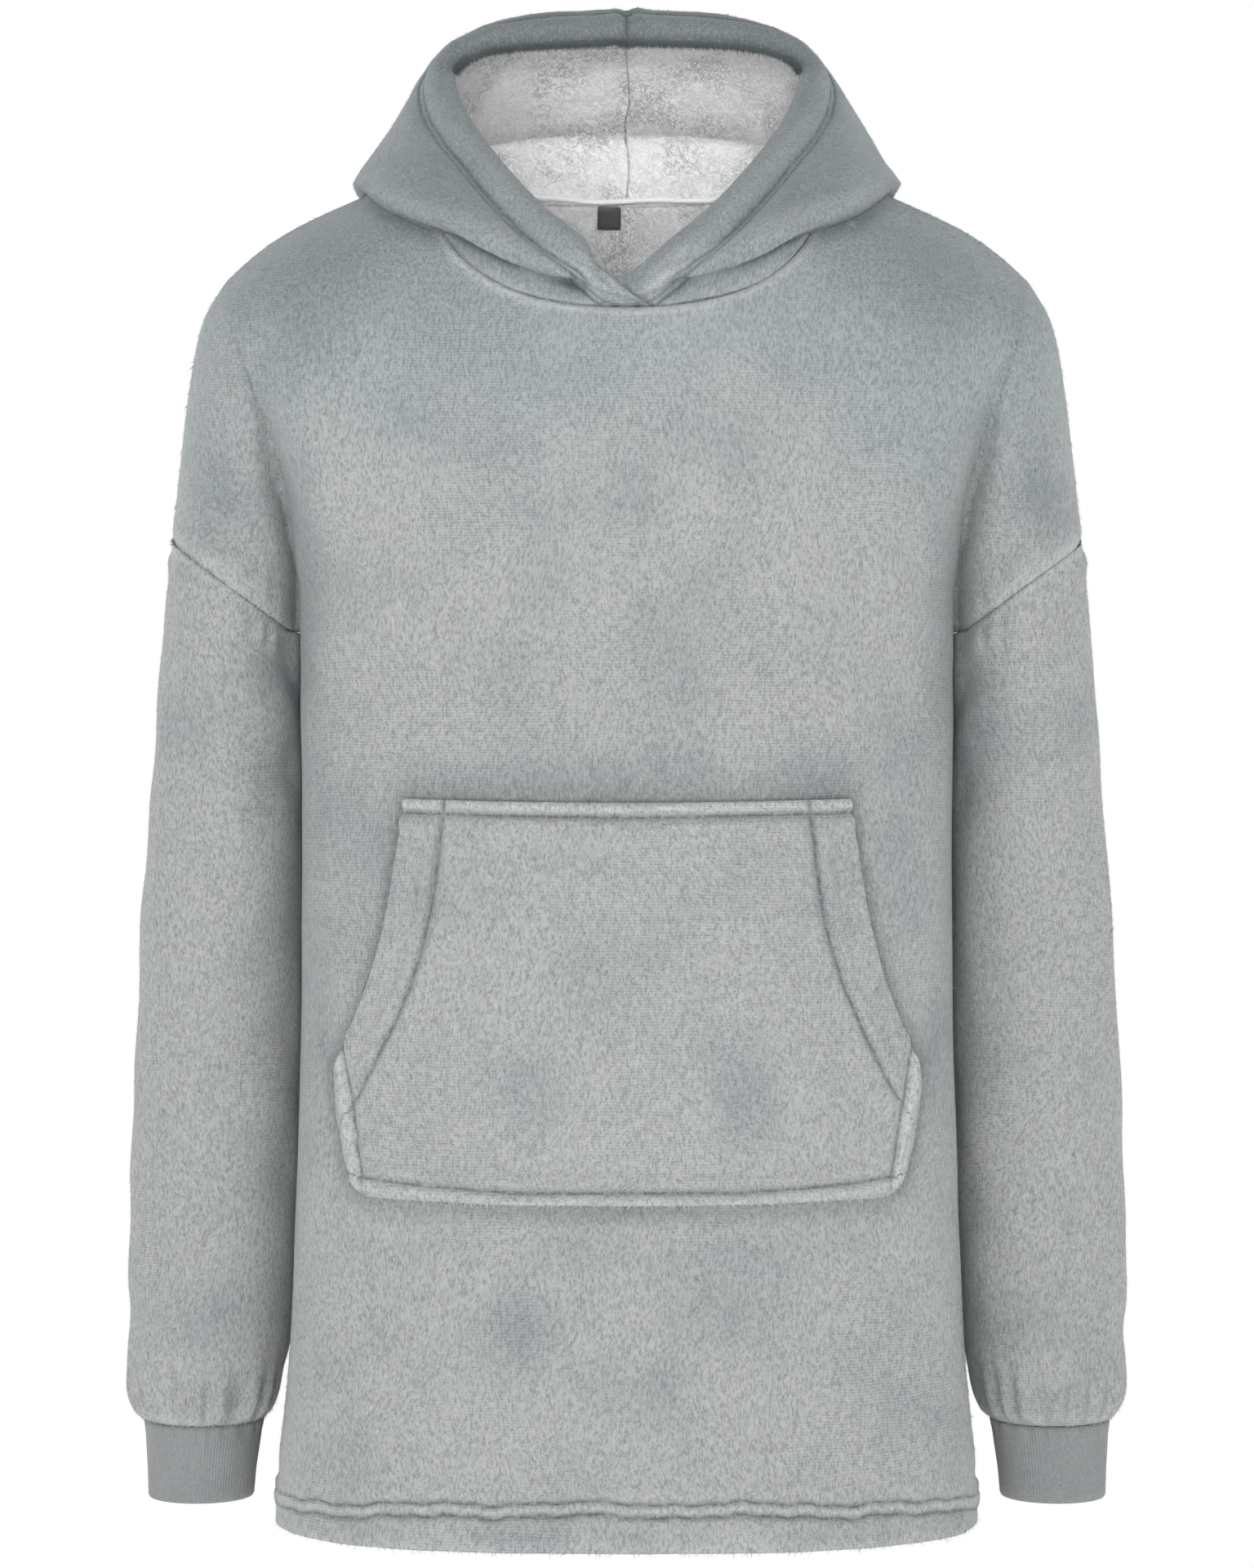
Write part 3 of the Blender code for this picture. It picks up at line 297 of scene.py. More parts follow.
def pileMaterial(name, lines=()):
    material, shade, shader = startMaterial(name, Roughness=0.9, Sheen_Weight=0.3, Specular_IOR_Level=0.1)
    point = objectPoint(shade)
    bent = shade.out("ShaderNodeVectorMath", 0, {"operation": "MULTIPLY_ADD"}, n0=shade.out(
        "ShaderNodeTexNoise", 1, None, Vector=point, Scale=150.0, Detail=2.0), n1=(0.007, 0.007, 0.007), n2=point)
    curls = grain(shade, bent, 380.0, 3.0, 0.65, 1.0)
    tufted = grain(shade, point, 26.0, 2.0).span(0.40, 0.60, 0.40, 1.0)
    crevice = None
    for scale, width, depth in ((110.0, 0.050, 1.0), (190.0, 0.045, 0.7)):
        ridge = (grain(shade, bent, scale, 2.0, 0.5, 1.6) - 0.5).maths("ABSOLUTE").span(0.0, width, depth, 0.0)
        crevice = ridge if crevice is None else crevice.maths("MAXIMUM", ridge)
    crevice = crevice * tufted
    # painted shade in the crevices between the curls and in the low parts of the curls
    tone = (crevice * 0.80).blend((0.93, 0.935, 0.93, 1), (0.40, 0.41, 0.395, 1))
    tone = curls.span(0.35, 0.65, 0.10, 0.0).blend(tone, (0.56, 0.57, 0.555, 1))
    relief = curls * 0.6 - crevice
    if lines:
        sewn = grooves(shade, point, lines, 0.0006, 0.0012)
        tone = (sewn * 0.70).blend(tone, (0.20, 0.21, 0.21, 1))
        relief = relief - sewn
    bump = shade.node("ShaderNodeBump", None, Strength=0.7, Distance=0.0018, Height=relief)
    shade.tree.links.new(tone.socket, shader.inputs["Base Color"])
    shade.tree.links.new(bump.outputs[0], shader.inputs["Normal"])
    return material


def curlMaterial(name):
    material, shade, shader = startMaterial(name, Roughness=0.9, Sheen_Weight=0.3, Specular_IOR_Level=0.1)
    tone = (attribute(shade, "tint") * 0.8 + grain(shade, objectPoint(shade), 700.0) * 0.2).blend(
        (0.62, 0.63, 0.615, 1), (0.94, 0.945, 0.94, 1))
    shade.tree.links.new(tone.socket, shader.inputs["Base Color"])
    return material


def knitMaterial(name):
    material, shade, shader = startMaterial(name, Roughness=0.85, Sheen_Weight=0.2, Specular_IOR_Level=0.2)
    point = objectPoint(shade)
    stitches = grain(shade, stretched(shade, point, (700, 700, 900)), 1.0, 2.0)
    patchy = grain(shade, point, 30.0, 2.0)
    tone = (stitches * 0.7 + patchy * 0.3).span(0.3, 0.7).blend((0.162, 0.169, 0.172, 1), (0.226, 0.233, 0.236, 1))
    bump = shade.node("ShaderNodeBump", None, Strength=0.5, Distance=0.0005, Height=stitches)
    shade.tree.links.new(tone.socket, shader.inputs["Base Color"])
    shade.tree.links.new(bump.outputs[0], shader.inputs["Normal"])
    return material


def tabMaterial(name):
    material, shade, shader = startMaterial(name, Roughness=0.6, Sheen_Weight=0.1)
    point = objectPoint(shade)
    weave = shade.out("ShaderNodeTexWave", 0, None, Vector=point, Scale=420.0, Distortion=0.4)
    tone = (weave * 0.5 + grain(shade, point, 900.0) * 0.5).blend((0.060, 0.062, 0.065, 1), (0.100, 0.103, 0.107, 1))
    bump = shade.node("ShaderNodeBump", None, Strength=0.3, Distance=0.0002, Height=weave)
    shade.tree.links.new(tone.socket, shader.inputs["Base Color"])
    shade.tree.links.new(bump.outputs[0], shader.inputs["Normal"])
    return material


# Cloth from the frame's walls

def wallCopy(node, name, levels, cuts=()):
    # the CAD wall's own form: merged, cut finer where asked, its rims kept square, then subdivided
    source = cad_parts[node]
    mesh = source.data.copy()
    mesh.transform(source.matrix_world)
    mesh.materials.clear()
    shell = bmesh.new()
    shell.from_mesh(mesh)
    bmesh.ops.remove_doubles(shell, verts=shell.verts, dist=2e-6)
    bmesh.ops.join_triangles(shell, faces=shell.faces, angle_face_threshold=math.radians(35),
                             angle_shape_threshold=math.radians(80), cmp_seam=False, cmp_sharp=False)
    for axis, place in cuts:
        level = Vector((0, 0, 0))
        level[axis] = place
        normal = Vector((0, 0, 0))
        normal[axis] = 1
        parts = list(shell.verts) + list(shell.edges) + list(shell.faces)
        bmesh.ops.bisect_plane(shell, geom=parts, dist=4e-4, plane_co=level, plane_no=normal)
    crease = shell.edges.layers.float.new("crease_edge")
    for edge in shell.edges:
        if len(edge.link_faces) == 2 and edge.calc_face_angle(0) > math.radians(62):
            edge[crease] = 0.9
    markInside(shell)
    shell.to_mesh(mesh)
    shell.free()
    piece = bpy.data.objects.new(name, mesh)
    bpy.context.collection.objects.link(piece)
    finish(piece, levels)
    return piece


def markInside(shell):
    # each broad side of the wall, up to its square rims, looks out of the garment or into it
    waiting = set(shell.faces)
    while waiting:
        side = [waiting.pop()]
        for face in side:
            for edge in face.edges:
                if edge.calc_face_angle(0) < math.radians(46):
                    fresh = [other for other in edge.link_faces if other in waiting]
                    waiting.difference_update(fresh)
                    side += fresh
        areas = np.array([face.calc_area() for face in side])
        centres = np.array([face.calc_center_median()[:] for face in side])
        normals = np.array([face.normal[:] for face in side])
        looks = np.sum(np.einsum("ij,ij->i", outwardField(centres), normals) * areas)
        inside = areas.sum() > 0.02 and looks < 0
        for face in side:
            face.material_index = 1 if inside else 0


def finish(piece, levels):
    bpy.ops.object.select_all(action="DESELECT")
    piece.select_set(True)
    bpy.context.view_layer.objects.active = piece
    if levels:
        rounded = piece.modifiers.new("rounded", "SUBSURF")
        rounded.levels = rounded.render_levels = levels
        rounded.use_limit_surface = True
        bpy.ops.object.modifier_apply(modifier=rounded.name)
    piece.data.shade_smooth()


def readPoints(piece):
    flat = np.empty(len(piece.data.vertices) * 3)
    piece.data.vertices.foreach_get("co", flat)
    return flat.reshape(-1, 3)


def writePoints(piece, points):
    piece.data.vertices.foreach_set("co", points.ravel())
    piece.data.update()


def readNormals(piece):
    flat = np.empty(len(piece.data.vertices) * 3)
    piece.data.vertices.foreach_get("normal", flat)
    return flat.reshape(-1, 3)


def store(piece, name, values):
    layer = piece.data.attributes.new(name, "FLOAT", "POINT")
    layer.data.foreach_set("value", np.asarray(values, dtype=np.float32))


def outwardField(points):
    # level direction away from the middle of the body, or of the arm beyond the armhole
    x, y, z = points.T
    trunk = np.column_stack([x / body["halfWidth"] ** 2, y / body["halfDepth"] ** 2, np.zeros(len(x))])
    armX, armY = along(body["armAxis"], z, 1), along(body["armAxis"], z, 2)
    arm = np.column_stack([(np.abs(x) - armX) * np.sign(x), y - armY, np.zeros(len(x))])
    isArm = np.abs(x) > np.where(z > body["armpitZ"], along(body["creaseX"], z, 1), 0.213)
    isArm &= (z < -0.07)
    field = np.where(isArm[:, None], arm, trunk)
    return field / np.maximum(np.linalg.norm(field, axis=1), 1e-9)[:, None]


def paint(piece, outer, inner=None):
    piece.data.materials.append(outer)
    if inner is None:
        piece.data.polygons.foreach_set("material_index", np.zeros(len(piece.data.polygons), dtype=np.int32))
    else:
        piece.data.materials.append(inner)
    piece.data.update()


# Patches where the nap is brushed darker, and among them patches of painted shade under the hem, above and beside the
# pocket, by the armholes and at the sides: distance from the middle, height, half sizes, strength
brushedAndShadedPatches = [
    {"x": 0.112, "z": -0.135, "wide": 0.034, "tall": 0.045, "dark": 0.42},
    {"x": 0.000, "z": -0.868, "wide": 0.230, "tall": 0.008, "dark": 0.60},
    {"x": 0.215, "z": -0.075, "wide": 0.050, "tall": 0.045, "dark": 0.45},
    {"x": 0.262, "z": -0.225, "wide": 0.026, "tall": 0.034, "dark": 0.75},
    {"x": 0.203, "z": -0.270, "wide": 0.014, "tall": 0.095, "dark": 0.75},
    {"x": 0.225, "z": -0.360, "wide": 0.022, "tall": 0.060, "dark": 0.45},
    {"x": 0.000, "z": -0.180, "wide": 0.095, "tall": 0.060, "dark": 0.24},
    {"x": 0.000, "z": -0.300, "wide": 0.070, "tall": 0.110, "dark": 0.26},
    {"x": 0.000, "z": -0.560, "wide": 0.075, "tall": 0.090, "dark": 0.12},
    {"x": 0.285, "z": -0.360, "wide": 0.028, "tall": 0.028, "dark": 0.35},
    {"x": 0.172, "z": -0.440, "wide": 0.024, "tall": 0.075, "dark": 0.55},
    {"x": 0.196, "z": -0.560, "wide": 0.012, "tall": 0.080, "dark": 0.55},
    {"x": 0.060, "z": -0.395, "wide": 0.090, "tall": 0.014, "dark": 0.55},
    {"x": 0.120, "z": -0.460, "wide": 0.022, "tall": 0.050, "dark": 0.40},
    {"x": 0.070, "z": -0.590, "wide": 0.030, "tall": 0.030, "dark": 0.50},
    {"x": 0.030, "z": -0.500, "wide": 0.030, "tall": 0.036, "dark": 0.25},
    {"x": 0.060, "z": -0.735, "wide": 0.040, "tall": 0.024, "dark": 0.50},
    {"x": 0.010, "z": -0.775, "wide": 0.034, "tall": 0.018, "dark": 0.40},
    {"x": 0.040, "z": -0.690, "wide": 0.100, "tall": 0.014, "dark": 0.35},
    {"x": 0.180, "z": -0.800, "wide": 0.026, "tall": 0.050, "dark": 0.35},
    {"x": 0.262, "z": -0.745, "wide": 0.040, "tall": 0.022, "dark": 0.70},
    {"x": 0.232, "z": -0.560, "wide": 0.014, "tall": 0.110, "dark": 0.25},
    {"x": 0.245, "z": -0.800, "wide": 0.030, "tall": 0.016, "dark": 0.35},
]


def paintToneAndShade(piece, points, coolAndShadedLevel=None, paleAndLit=None, shadow=None):
    # stores the tones: nap patches with painted shade among them, the cool grey with its painted shade, the paler tone
    # with painted highlight, and painted shadow
    x, z = np.abs(points[:, 0]), points[:, 2]
    uneven = noiseAt(points, 21.0, 1.0)
    mottled = noiseAt(points, 55.0, 8.0)
    dark = np.zeros(len(points))
    for patch in brushedAndShadedPatches:
        dark += patch["dark"] * np.exp(-((x - patch["x"]) / patch["wide"]) ** 2 - ((z - patch["z"]) / patch["tall"]) ** 2)
    dark = dark * (0.90 + 0.5 * uneven) + 0.24 * uneven + 0.20 * mottled - 0.04
    # cooler and darker towards the top: partly the cloth's cooler grey, partly painted shade on the upper parts
    coolAndShaded = smoothStep(-0.270, -0.045, z + 0.05 * uneven + 0.06 * noiseAt(points, 8.0, 4.0))
    if coolAndShadedLevel is not None:
        coolAndShaded = np.full(len(points), coolAndShadedLevel) + 0.2 * uneven
    store(piece, "brushedAndShaded", np.clip(dark, 0, 0.9))
    store(piece, "coolAndShaded", np.clip(coolAndShaded, 0, 1))
    nothing = np.zeros(len(points))
    store(piece, "paleAndLit", nothing if paleAndLit is None else np.clip(paleAndLit, 0, 1))
    store(piece, "lipShadow", nothing if shadow is None else shadow)


# Fibres of the nap and of the pile

nap = {
    "length": 0.0042,
    "width": 0.00050,
    "sink": 0.0003,
    "lift": (0.08, 0.40),
    "layers": ("brushedAndShaded", "coolAndShaded", "paleAndLit", "lipShadow"),
    "clearOfSewing": 0.0019,
}


def readLayer(piece, name):
    values = np.empty(len(piece.data.vertices), dtype=np.float32)
    piece.data.attributes[name].data.foreach_get("value", values)
    return values


def scatter(piece, node, kind, material, count, seed, keep=None, length=1.0, tint=(0.5, 0.24), curly=False):
    # fibres as thin triangles, lying nearly flat in slowly turning directions
    mesh = piece.data
    mesh.calc_loop_triangles()
    corners = np.empty(len(mesh.loop_triangles) * 3, dtype=np.int32)
    mesh.loop_triangles.foreach_get("vertices", corners)
    corners = corners.reshape(-1, 3)
    owners = np.empty(len(corners), dtype=np.int32)
    mesh.loop_triangles.foreach_get("polygon_index", owners)
    slots = np.empty(len(mesh.polygons), dtype=np.int32)
    mesh.polygons.foreach_get("material_index", slots)
    points, normals = readPoints(piece), readNormals(piece)
    a, b, c = (points[corners[:, index]] for index in range(3))
    weights = np.linalg.norm(np.cross(b - a, c - a), axis=1) * (slots[owners] == 0)
    if keep is not None:
        weights = weights * np.min(keep[corners], axis=1)
    random = np.random.default_rng(seed)
    picked = random.choice(len(corners), count, p=weights / weights.sum())
    shares = random.dirichlet((1, 1, 1), count)

    def blended(values):
        return sum(values[corners[picked, index]] * shares[:, index, None] for index in range(3))

    base, out = blended(points), blended(normals)
    out /= np.maximum(np.linalg.norm(out, axis=1), 1e-9)[:, None]
    turn = noiseAt(base, 7.0, seed) * 2.2 + random.normal(0, 0.32, count)
    if curly:
        turn = random.uniform(0, 2 * math.pi, count)
    lay = np.column_stack([np.sin(turn), np.full(count, -0.3), -np.cos(turn)])
    lay -= out * np.einsum("ij,ij->i", lay, out)[:, None]
    lay /= np.maximum(np.linalg.norm(lay, axis=1), 1e-9)[:, None]
    lift = random.uniform(*nap["lift"], count) * (1.8 if curly else 1)
    run = lay * np.cos(lift)[:, None] + out * np.sin(lift)[:, None]
    side = np.cross(run, out) * nap["width"] / 2
    reach = nap["length"] * length * random.uniform(0.55, 1.35, count)
    root = base - out * nap["sink"]
    tips = np.stack([root - side, root + side, root + run * reach[:, None]], axis=1).reshape(-1, 3)
    name = node + "_" + kind
    fibres = bpy.data.meshes.new(name)
    fibres.from_pydata(tips.tolist(), [], np.arange(3 * count).reshape(-1, 3).tolist())
    fibres.shade_smooth()
    fibres.normals_split_custom_set_from_vertices(np.repeat(out, 3, axis=0).tolist())
    coat = bpy.data.objects.new(name, fibres)
    bpy.context.collection.objects.link(coat)
    for layer in () if curly else nap["layers"]:
        store(coat, layer, np.repeat(blended(readLayer(piece, layer)[:, None])[:, 0], 3))
    store(coat, "tint", np.repeat(np.clip(random.normal(*tint, count), 0, 1), 3))
    fibres.materials.append(material)
    coats.setdefault(node, []).append(coat)


def clearOf(*distances):
    # where fibres may grow: not on sewn lines
    nearest = np.min(np.abs(np.array(distances)), axis=0)
    return (nearest > nap["clearOfSewing"]).astype(float)


def within(distance, width):
    return (np.abs(distance) < width).astype(float)


# Front neck seam, in distance from the middle and height
neckFront = {"half": 0.128, "drop": 0.108, "power": 2.6, "steps": 24}


def neckFrontDistance(points):
    x = np.sin(np.linspace(0, math.pi / 2, neckFront["steps"])) * neckFront["half"]
    share = np.clip(x / neckFront["half"], 0, 1) ** neckFront["power"]
    line = np.column_stack([x, -neckFront["drop"] * (1 - share) ** (1 / neckFront["power"])])
    flat = np.column_stack([np.abs(points[:, 0]), points[:, 2]])
    return np.abs(signedDistance(flat, line)) + (points[:, 1] > -0.02)


def foldShift(points, folds, front):
    # soft troughs and ridges on both sides, by their ends in x and z
    total = np.zeros(len(points))
    flat = np.column_stack([np.abs(points[:, 0]), points[:, 2]])
    sideOn = smoothStep(-0.01, 0.03, -points[:, 1] if front else points[:, 1])
    for row in folds:
        mirrored = {"both": True, "left": points[:, 0] > 0, "right": points[:, 0] < 0}[row.get("on", "both")]
        start, end = np.array(row["start"]), np.array(row["end"])
        distance, share = distanceToLine(flat, np.array([start, end]))
        taper = np.sin(np.pi * np.clip(share, 0.02, 0.98)) ** 0.7
        total += row["depth"] * np.exp(-(distance / row["width"]) ** 2) * taper * sideOn * mirrored
    return total


panelFolds = {
    "front": [
        {"start": (0.212, -0.285), "end": (0.150, -0.235), "width": 0.010, "depth": -0.0035},
        {"start": (0.209, -0.312), "end": (0.140, -0.290), "width": 0.012, "depth": 0.0030},
        {"start": (0.208, -0.335), "end": (0.150, -0.345), "width": 0.014, "depth": -0.0030},
        {"start": (0.206, -0.300), "end": (0.185, -0.470), "width": 0.016, "depth": 0.0028, "on": "left"},
        {"start": (0.204, -0.310), "end": (0.175, -0.440), "width": 0.015, "depth": 0.0026, "on": "right"},
        {"start": (0.240, -0.150), "end": (0.205, -0.260), "width": 0.009, "depth": -0.0030},
        {"start": (0.225, -0.140), "end": (0.190, -0.240), "width": 0.012, "depth": 0.0022},
        {"start": (0.170, -0.470), "end": (0.150, -0.800), "width": 0.022, "depth": -0.0022, "on": "left"},
        {"start": (0.180, -0.500), "end": (0.165, -0.780), "width": 0.020, "depth": -0.0024, "on": "right"},
        {"start": (0.060, -0.700), "end": (0.040, -0.860), "width": 0.024, "depth": 0.0018, "on": "left"},
        {"start": (0.100, -0.690), "end": (0.120, -0.860), "width": 0.026, "depth": 0.0018, "on": "right"},
        {"start": (0.285, -0.230), "end": (0.240, -0.275), "width": 0.008, "depth": 0.0026},
        {"start": (0.260, -0.225), "end": (0.228, -0.262), "width": 0.008, "depth": -0.0024},
        {"start": (0.276, -0.180), "end": (0.245, -0.230), "width": 0.010, "depth": 0.0020},
    ],
    "back": [
        {"start": (0.212, -0.290), "end": (0.140, -0.220), "width": 0.012, "depth": -0.0036},
        {"start": (0.208, -0.320), "end": (0.150, -0.310), "width": 0.013, "depth": 0.0030},
        {"start": (0.206, -0.345), "end": (0.150, -0.375), "width": 0.015, "depth": -0.0028},
        {"start": (0.120, -0.150), "end": (0.090, -0.330), "width": 0.024, "depth": 0.0026, "on": "left"},
        {"start": (0.140, -0.160), "end": (0.110, -0.360), "width": 0.026, "depth": 0.0026, "on": "right"},
        {"start": (0.240, -0.150), "end": (0.205, -0.260), "width": 0.010, "depth": -0.0030},
        {"start": (0.180, -0.430), "end": (0.150, -0.760), "width": 0.024, "depth": -0.0026, "on": "left"},
        {"start": (0.160, -0.450), "end": (0.140, -0.800), "width": 0.026, "depth": -0.0024, "on": "right"},
        {"start": (0.050, -0.600), "end": (0.030, -0.860), "width": 0.030, "depth": 0.0022},
        {"start": (0.285, -0.230), "end": (0.240, -0.275), "width": 0.008, "depth": 0.0026},
        {"start": (0.262, -0.222), "end": (0.228, -0.262), "width": 0.008, "depth": -0.0024},
    ],
}
hem = {
    "z": -0.875,
    "lineHeights": (0.0230, 0.0308),  # above the hem, in the middle
    "dropAtSide": 0.010,
    "puff": 0.0030,
    "cuts": (-0.8715, -0.866, -0.8595, -0.8555, -0.852, -0.848, -0.844, -0.839, -0.832),
}
dropSeam = {"outer": (0.2955, -0.2460), "inner": (0.2161, -0.3050), "puff": 0.0028, "reach": 0.022, "pitch": 0.020}


def seamDistance(points):
    # signed distance over the slanted seam between shoulder and sleeve
    (x1, z1), (x0, z0) = dropSeam["outer"], dropSeam["inner"]
    length = math.hypot(x1 - x0, z1 - z0)
    return ((points[:, 2] - z0) * (x1 - x0) - (np.abs(points[:, 0]) - x0) * (z1 - z0)) / length


def seamPuff(points):
    # the cloth swells beside the sewn line and is drawn in at it, in small gathers
    distance = np.abs(seamDistance(points))
    angle = np.arctan2(points[:, 1] - 0.003, (np.abs(points[:, 0]) - 0.256))
    gathers = 0.55 + 0.45 * np.sin(angle * 15 + np.sin(angle * 6) * 2)
    swell = np.exp(-((distance - 0.009) / 0.007) ** 2) * dropSeam["puff"] * gathers
    onArm = smoothStep(0.205, 0.222, np.abs(points[:, 0]))
    return swell * onArm * (distance < 0.06)


def hemHeights(points):
    # height over the hem, measured so that the sewn lines keep to their own heights
    x = points[:, 0]
    wander = 0.0010 * np.sin(x * 62) + 0.0007 * np.sin(x * 143 + 1.0) + 0.0006 * np.sin(x * 310 + 2.0)
    return points[:, 2] - hem["z"] + hem["dropAtSide"] * np.minimum(np.abs(x) / 0.22, 1) ** 2.5 + wander


def hemShape(points):
    height = hemHeights(points)
    low, high = hem["lineHeights"]
    x = points[:, 0]
    uneven = 0.75 + 0.25 * np.sin(x * 95 + 1.3 * np.sin(x * 41))
    swell = np.sin(np.pi * np.clip(height / low, 0, 1)) ** 0.7 * hem["puff"] * uneven * (height < low)
    above = np.exp(-((height - high - 0.008) / 0.006) ** 2) * 0.0016 * uneven
    return swell + above + groove(height - low, 0.0022, 0.0016) + groove(height - high, 0.0022, 0.0016)


pocket = {
    "levels": 3,
    # sewn lines, in distance from the middle and height
    "openingLine": [(0.1130, -0.4120), (0.1142, -0.4260), (0.1168, -0.4500), (0.1214, -0.4800), (0.1275, -0.5060),
                    (0.1348, -0.5290), (0.1468, -0.5560), (0.1597, -0.5820), (0.1688, -0.5985)],
    "sideLine": [(0.1782, -0.5640), (0.1714, -0.6034), (0.1673, -0.6315), (0.1647, -0.6472)],
    "bottomLine": [(0.1655, -0.6470), (0.1385, -0.6502), (0.0698, -0.6542), (0.0, -0.6542)],
    "topLine": [(0.0, -0.4236), (0.0600, -0.4226), (0.1400, -0.4206)],
    "sideSign": 1,
    "bottomSign": 1,
    "outline": [(0.0, -0.4110), (0.1380, -0.4110), (0.1425, -0.4528), (0.1486, -0.4880), (0.1546, -0.5130),
                (0.1641, -0.5410), (0.1768, -0.5665), (0.1835, -0.5800), (0.1808, -0.6050), (0.1768, -0.6350),
                (0.1708, -0.6515), (0.1618, -0.6600), (0.0, -0.6640)],
    "groove": 0.0018,
    "puff": 0.0024,
}


def pocketShade(points):
    # the pocket's soft contact shade on the front
    flat = np.column_stack([np.abs(points[:, 0]), points[:, 2]])
    away = signedDistance(flat, pocket["outline"])
    return 0.42 * np.exp(-(away / 0.0075) ** 2) * (points[:, 1] < 0)


def lipShade(points):
    # where the hood's lower folds lie on the shoulders
    flat = np.column_stack([np.abs(points[:, 0]), points[:, 1], points[:, 2]])
    away, _ = distanceToLine(flat, curveThrough(hood["lipUnder"]))
    return 0.80 * np.exp(-(away / 0.0065) ** 2)


def makePanel(node, side):
    front = side == "front"
    piece = wallCopy(node, node + "_cloth", body["levels"], [(2, place) for place in hem["cuts"]])
    points = readPoints(piece)
    shift = foldShift(points, panelFolds[side], front)
    shift += seamPuff(points) + hemShape(points)
    shift += noiseAt(points, 16.0, 3.1) * 0.0020 * smoothStep(0.0, 0.05, np.abs(points[:, 1]))
    towards = outwardField(points)
    fade = smoothStep(0.0, 0.018, np.abs(points[:, 1]))
    fade = np.where(points[:, 2] > -0.31, fade, 1.0)
    lines = [hemHeights(points) - height for height in hem["lineHeights"]]
    points += towards * (shift * fade)[:, None]
    writePoints(piece, points)
    for name, values in zip(("hemLineA", "hemLineB"), lines):
        store(piece, name, values)
    seam, neck = seamDistance(points), neckFrontDistance(points)
    onArm = np.abs(points[:, 0]) > 0.214
    # painted highlight on the puff beside the drop seam, along the neck seam and on the hem's rolls
    paleAndLit = 0.45 * np.exp(-((seam - 0.003) / 0.003) ** 2) * onArm + 0.65 * np.exp(-(neck / 0.0035) ** 2)
    paleAndLit += 0.25 * np.exp(-((hemHeights(points) - 0.004) / 0.006) ** 2) + 0.20 * within(lines[0] - 0.004, 0.0035)
    paintToneAndShade(piece, points, paleAndLit=paleAndLit, shadow=np.maximum(lipShade(points), pocketShade(points) if front else 0))
    paint(piece, bodyPlush, innerPile)
    free = clearOf(lines[0], lines[1]) * np.where(onArm, clearOf(seam), 1.0) * clearOf(neck)
    scatter(piece, node, "nap", bodyNap, 70000 if front else 45000, 11 if front else 12, free)
    scatter(piece, node, "seam_fuzz", bodyNap, 7000, 14, within(neck, 0.003) + within(seam, 0.0035) * onArm, 1.0, (0.85, 0.2))
    return piece


sleeve = {
    "levels": 3,
    "bottomZ": -0.819,
    # distance from the middle of the sleeve's nearest cloth and of the body's side, by height
    "nearest": [(-0.3054, 0.2161), (-0.352, 0.2118), (-0.414, 0.2110), (-0.508, 0.2109), (-0.604, 0.2117), (-0.69, 0.2142)],
    "bodySide": [(-0.305, 0.2106), (-0.450, 0.2103), (-0.583, 0.2112), (-0.689, 0.2145)],
    "gathers": 17,
    "gatherDepth": 0.0030,
    "gatherReach": 0.05,
    "folds": [
        # z, angle in degrees round the arm from its outer side over the front, half height, width round, depth
        {"z": -0.335, "angle": 150, "tall": 0.016, "wide": 60, "depth": -0.0040},
        {"z": -0.370, "angle": 165, "tall": 0.014, "wide": 50, "depth": 0.0030},
        {"z": -0.405, "angle": 155, "tall": 0.016, "wide": 55, "depth": -0.0035},
        {"z": -0.560, "angle": 120, "tall": 0.030, "wide": 50, "depth": -0.0028},
        {"z": -0.610, "angle": 100, "tall": 0.026, "wide": 45, "depth": 0.0024},
        {"z": -0.660, "angle": 130, "tall": 0.024, "wide": 50, "depth": -0.0026},
        {"z": -0.745, "angle": 60, "tall": 0.022, "wide": 40, "depth": 0.0026},
        {"z": -0.765, "angle": 20, "tall": 0.016, "wide": 40, "depth": -0.0028},
        {"z": -0.500, "angle": 250, "tall": 0.040, "wide": 45, "depth": -0.0026},
        {"z": -0.700, "angle": 235, "tall": 0.030, "wide": 45, "depth": 0.0026},
    ],
}


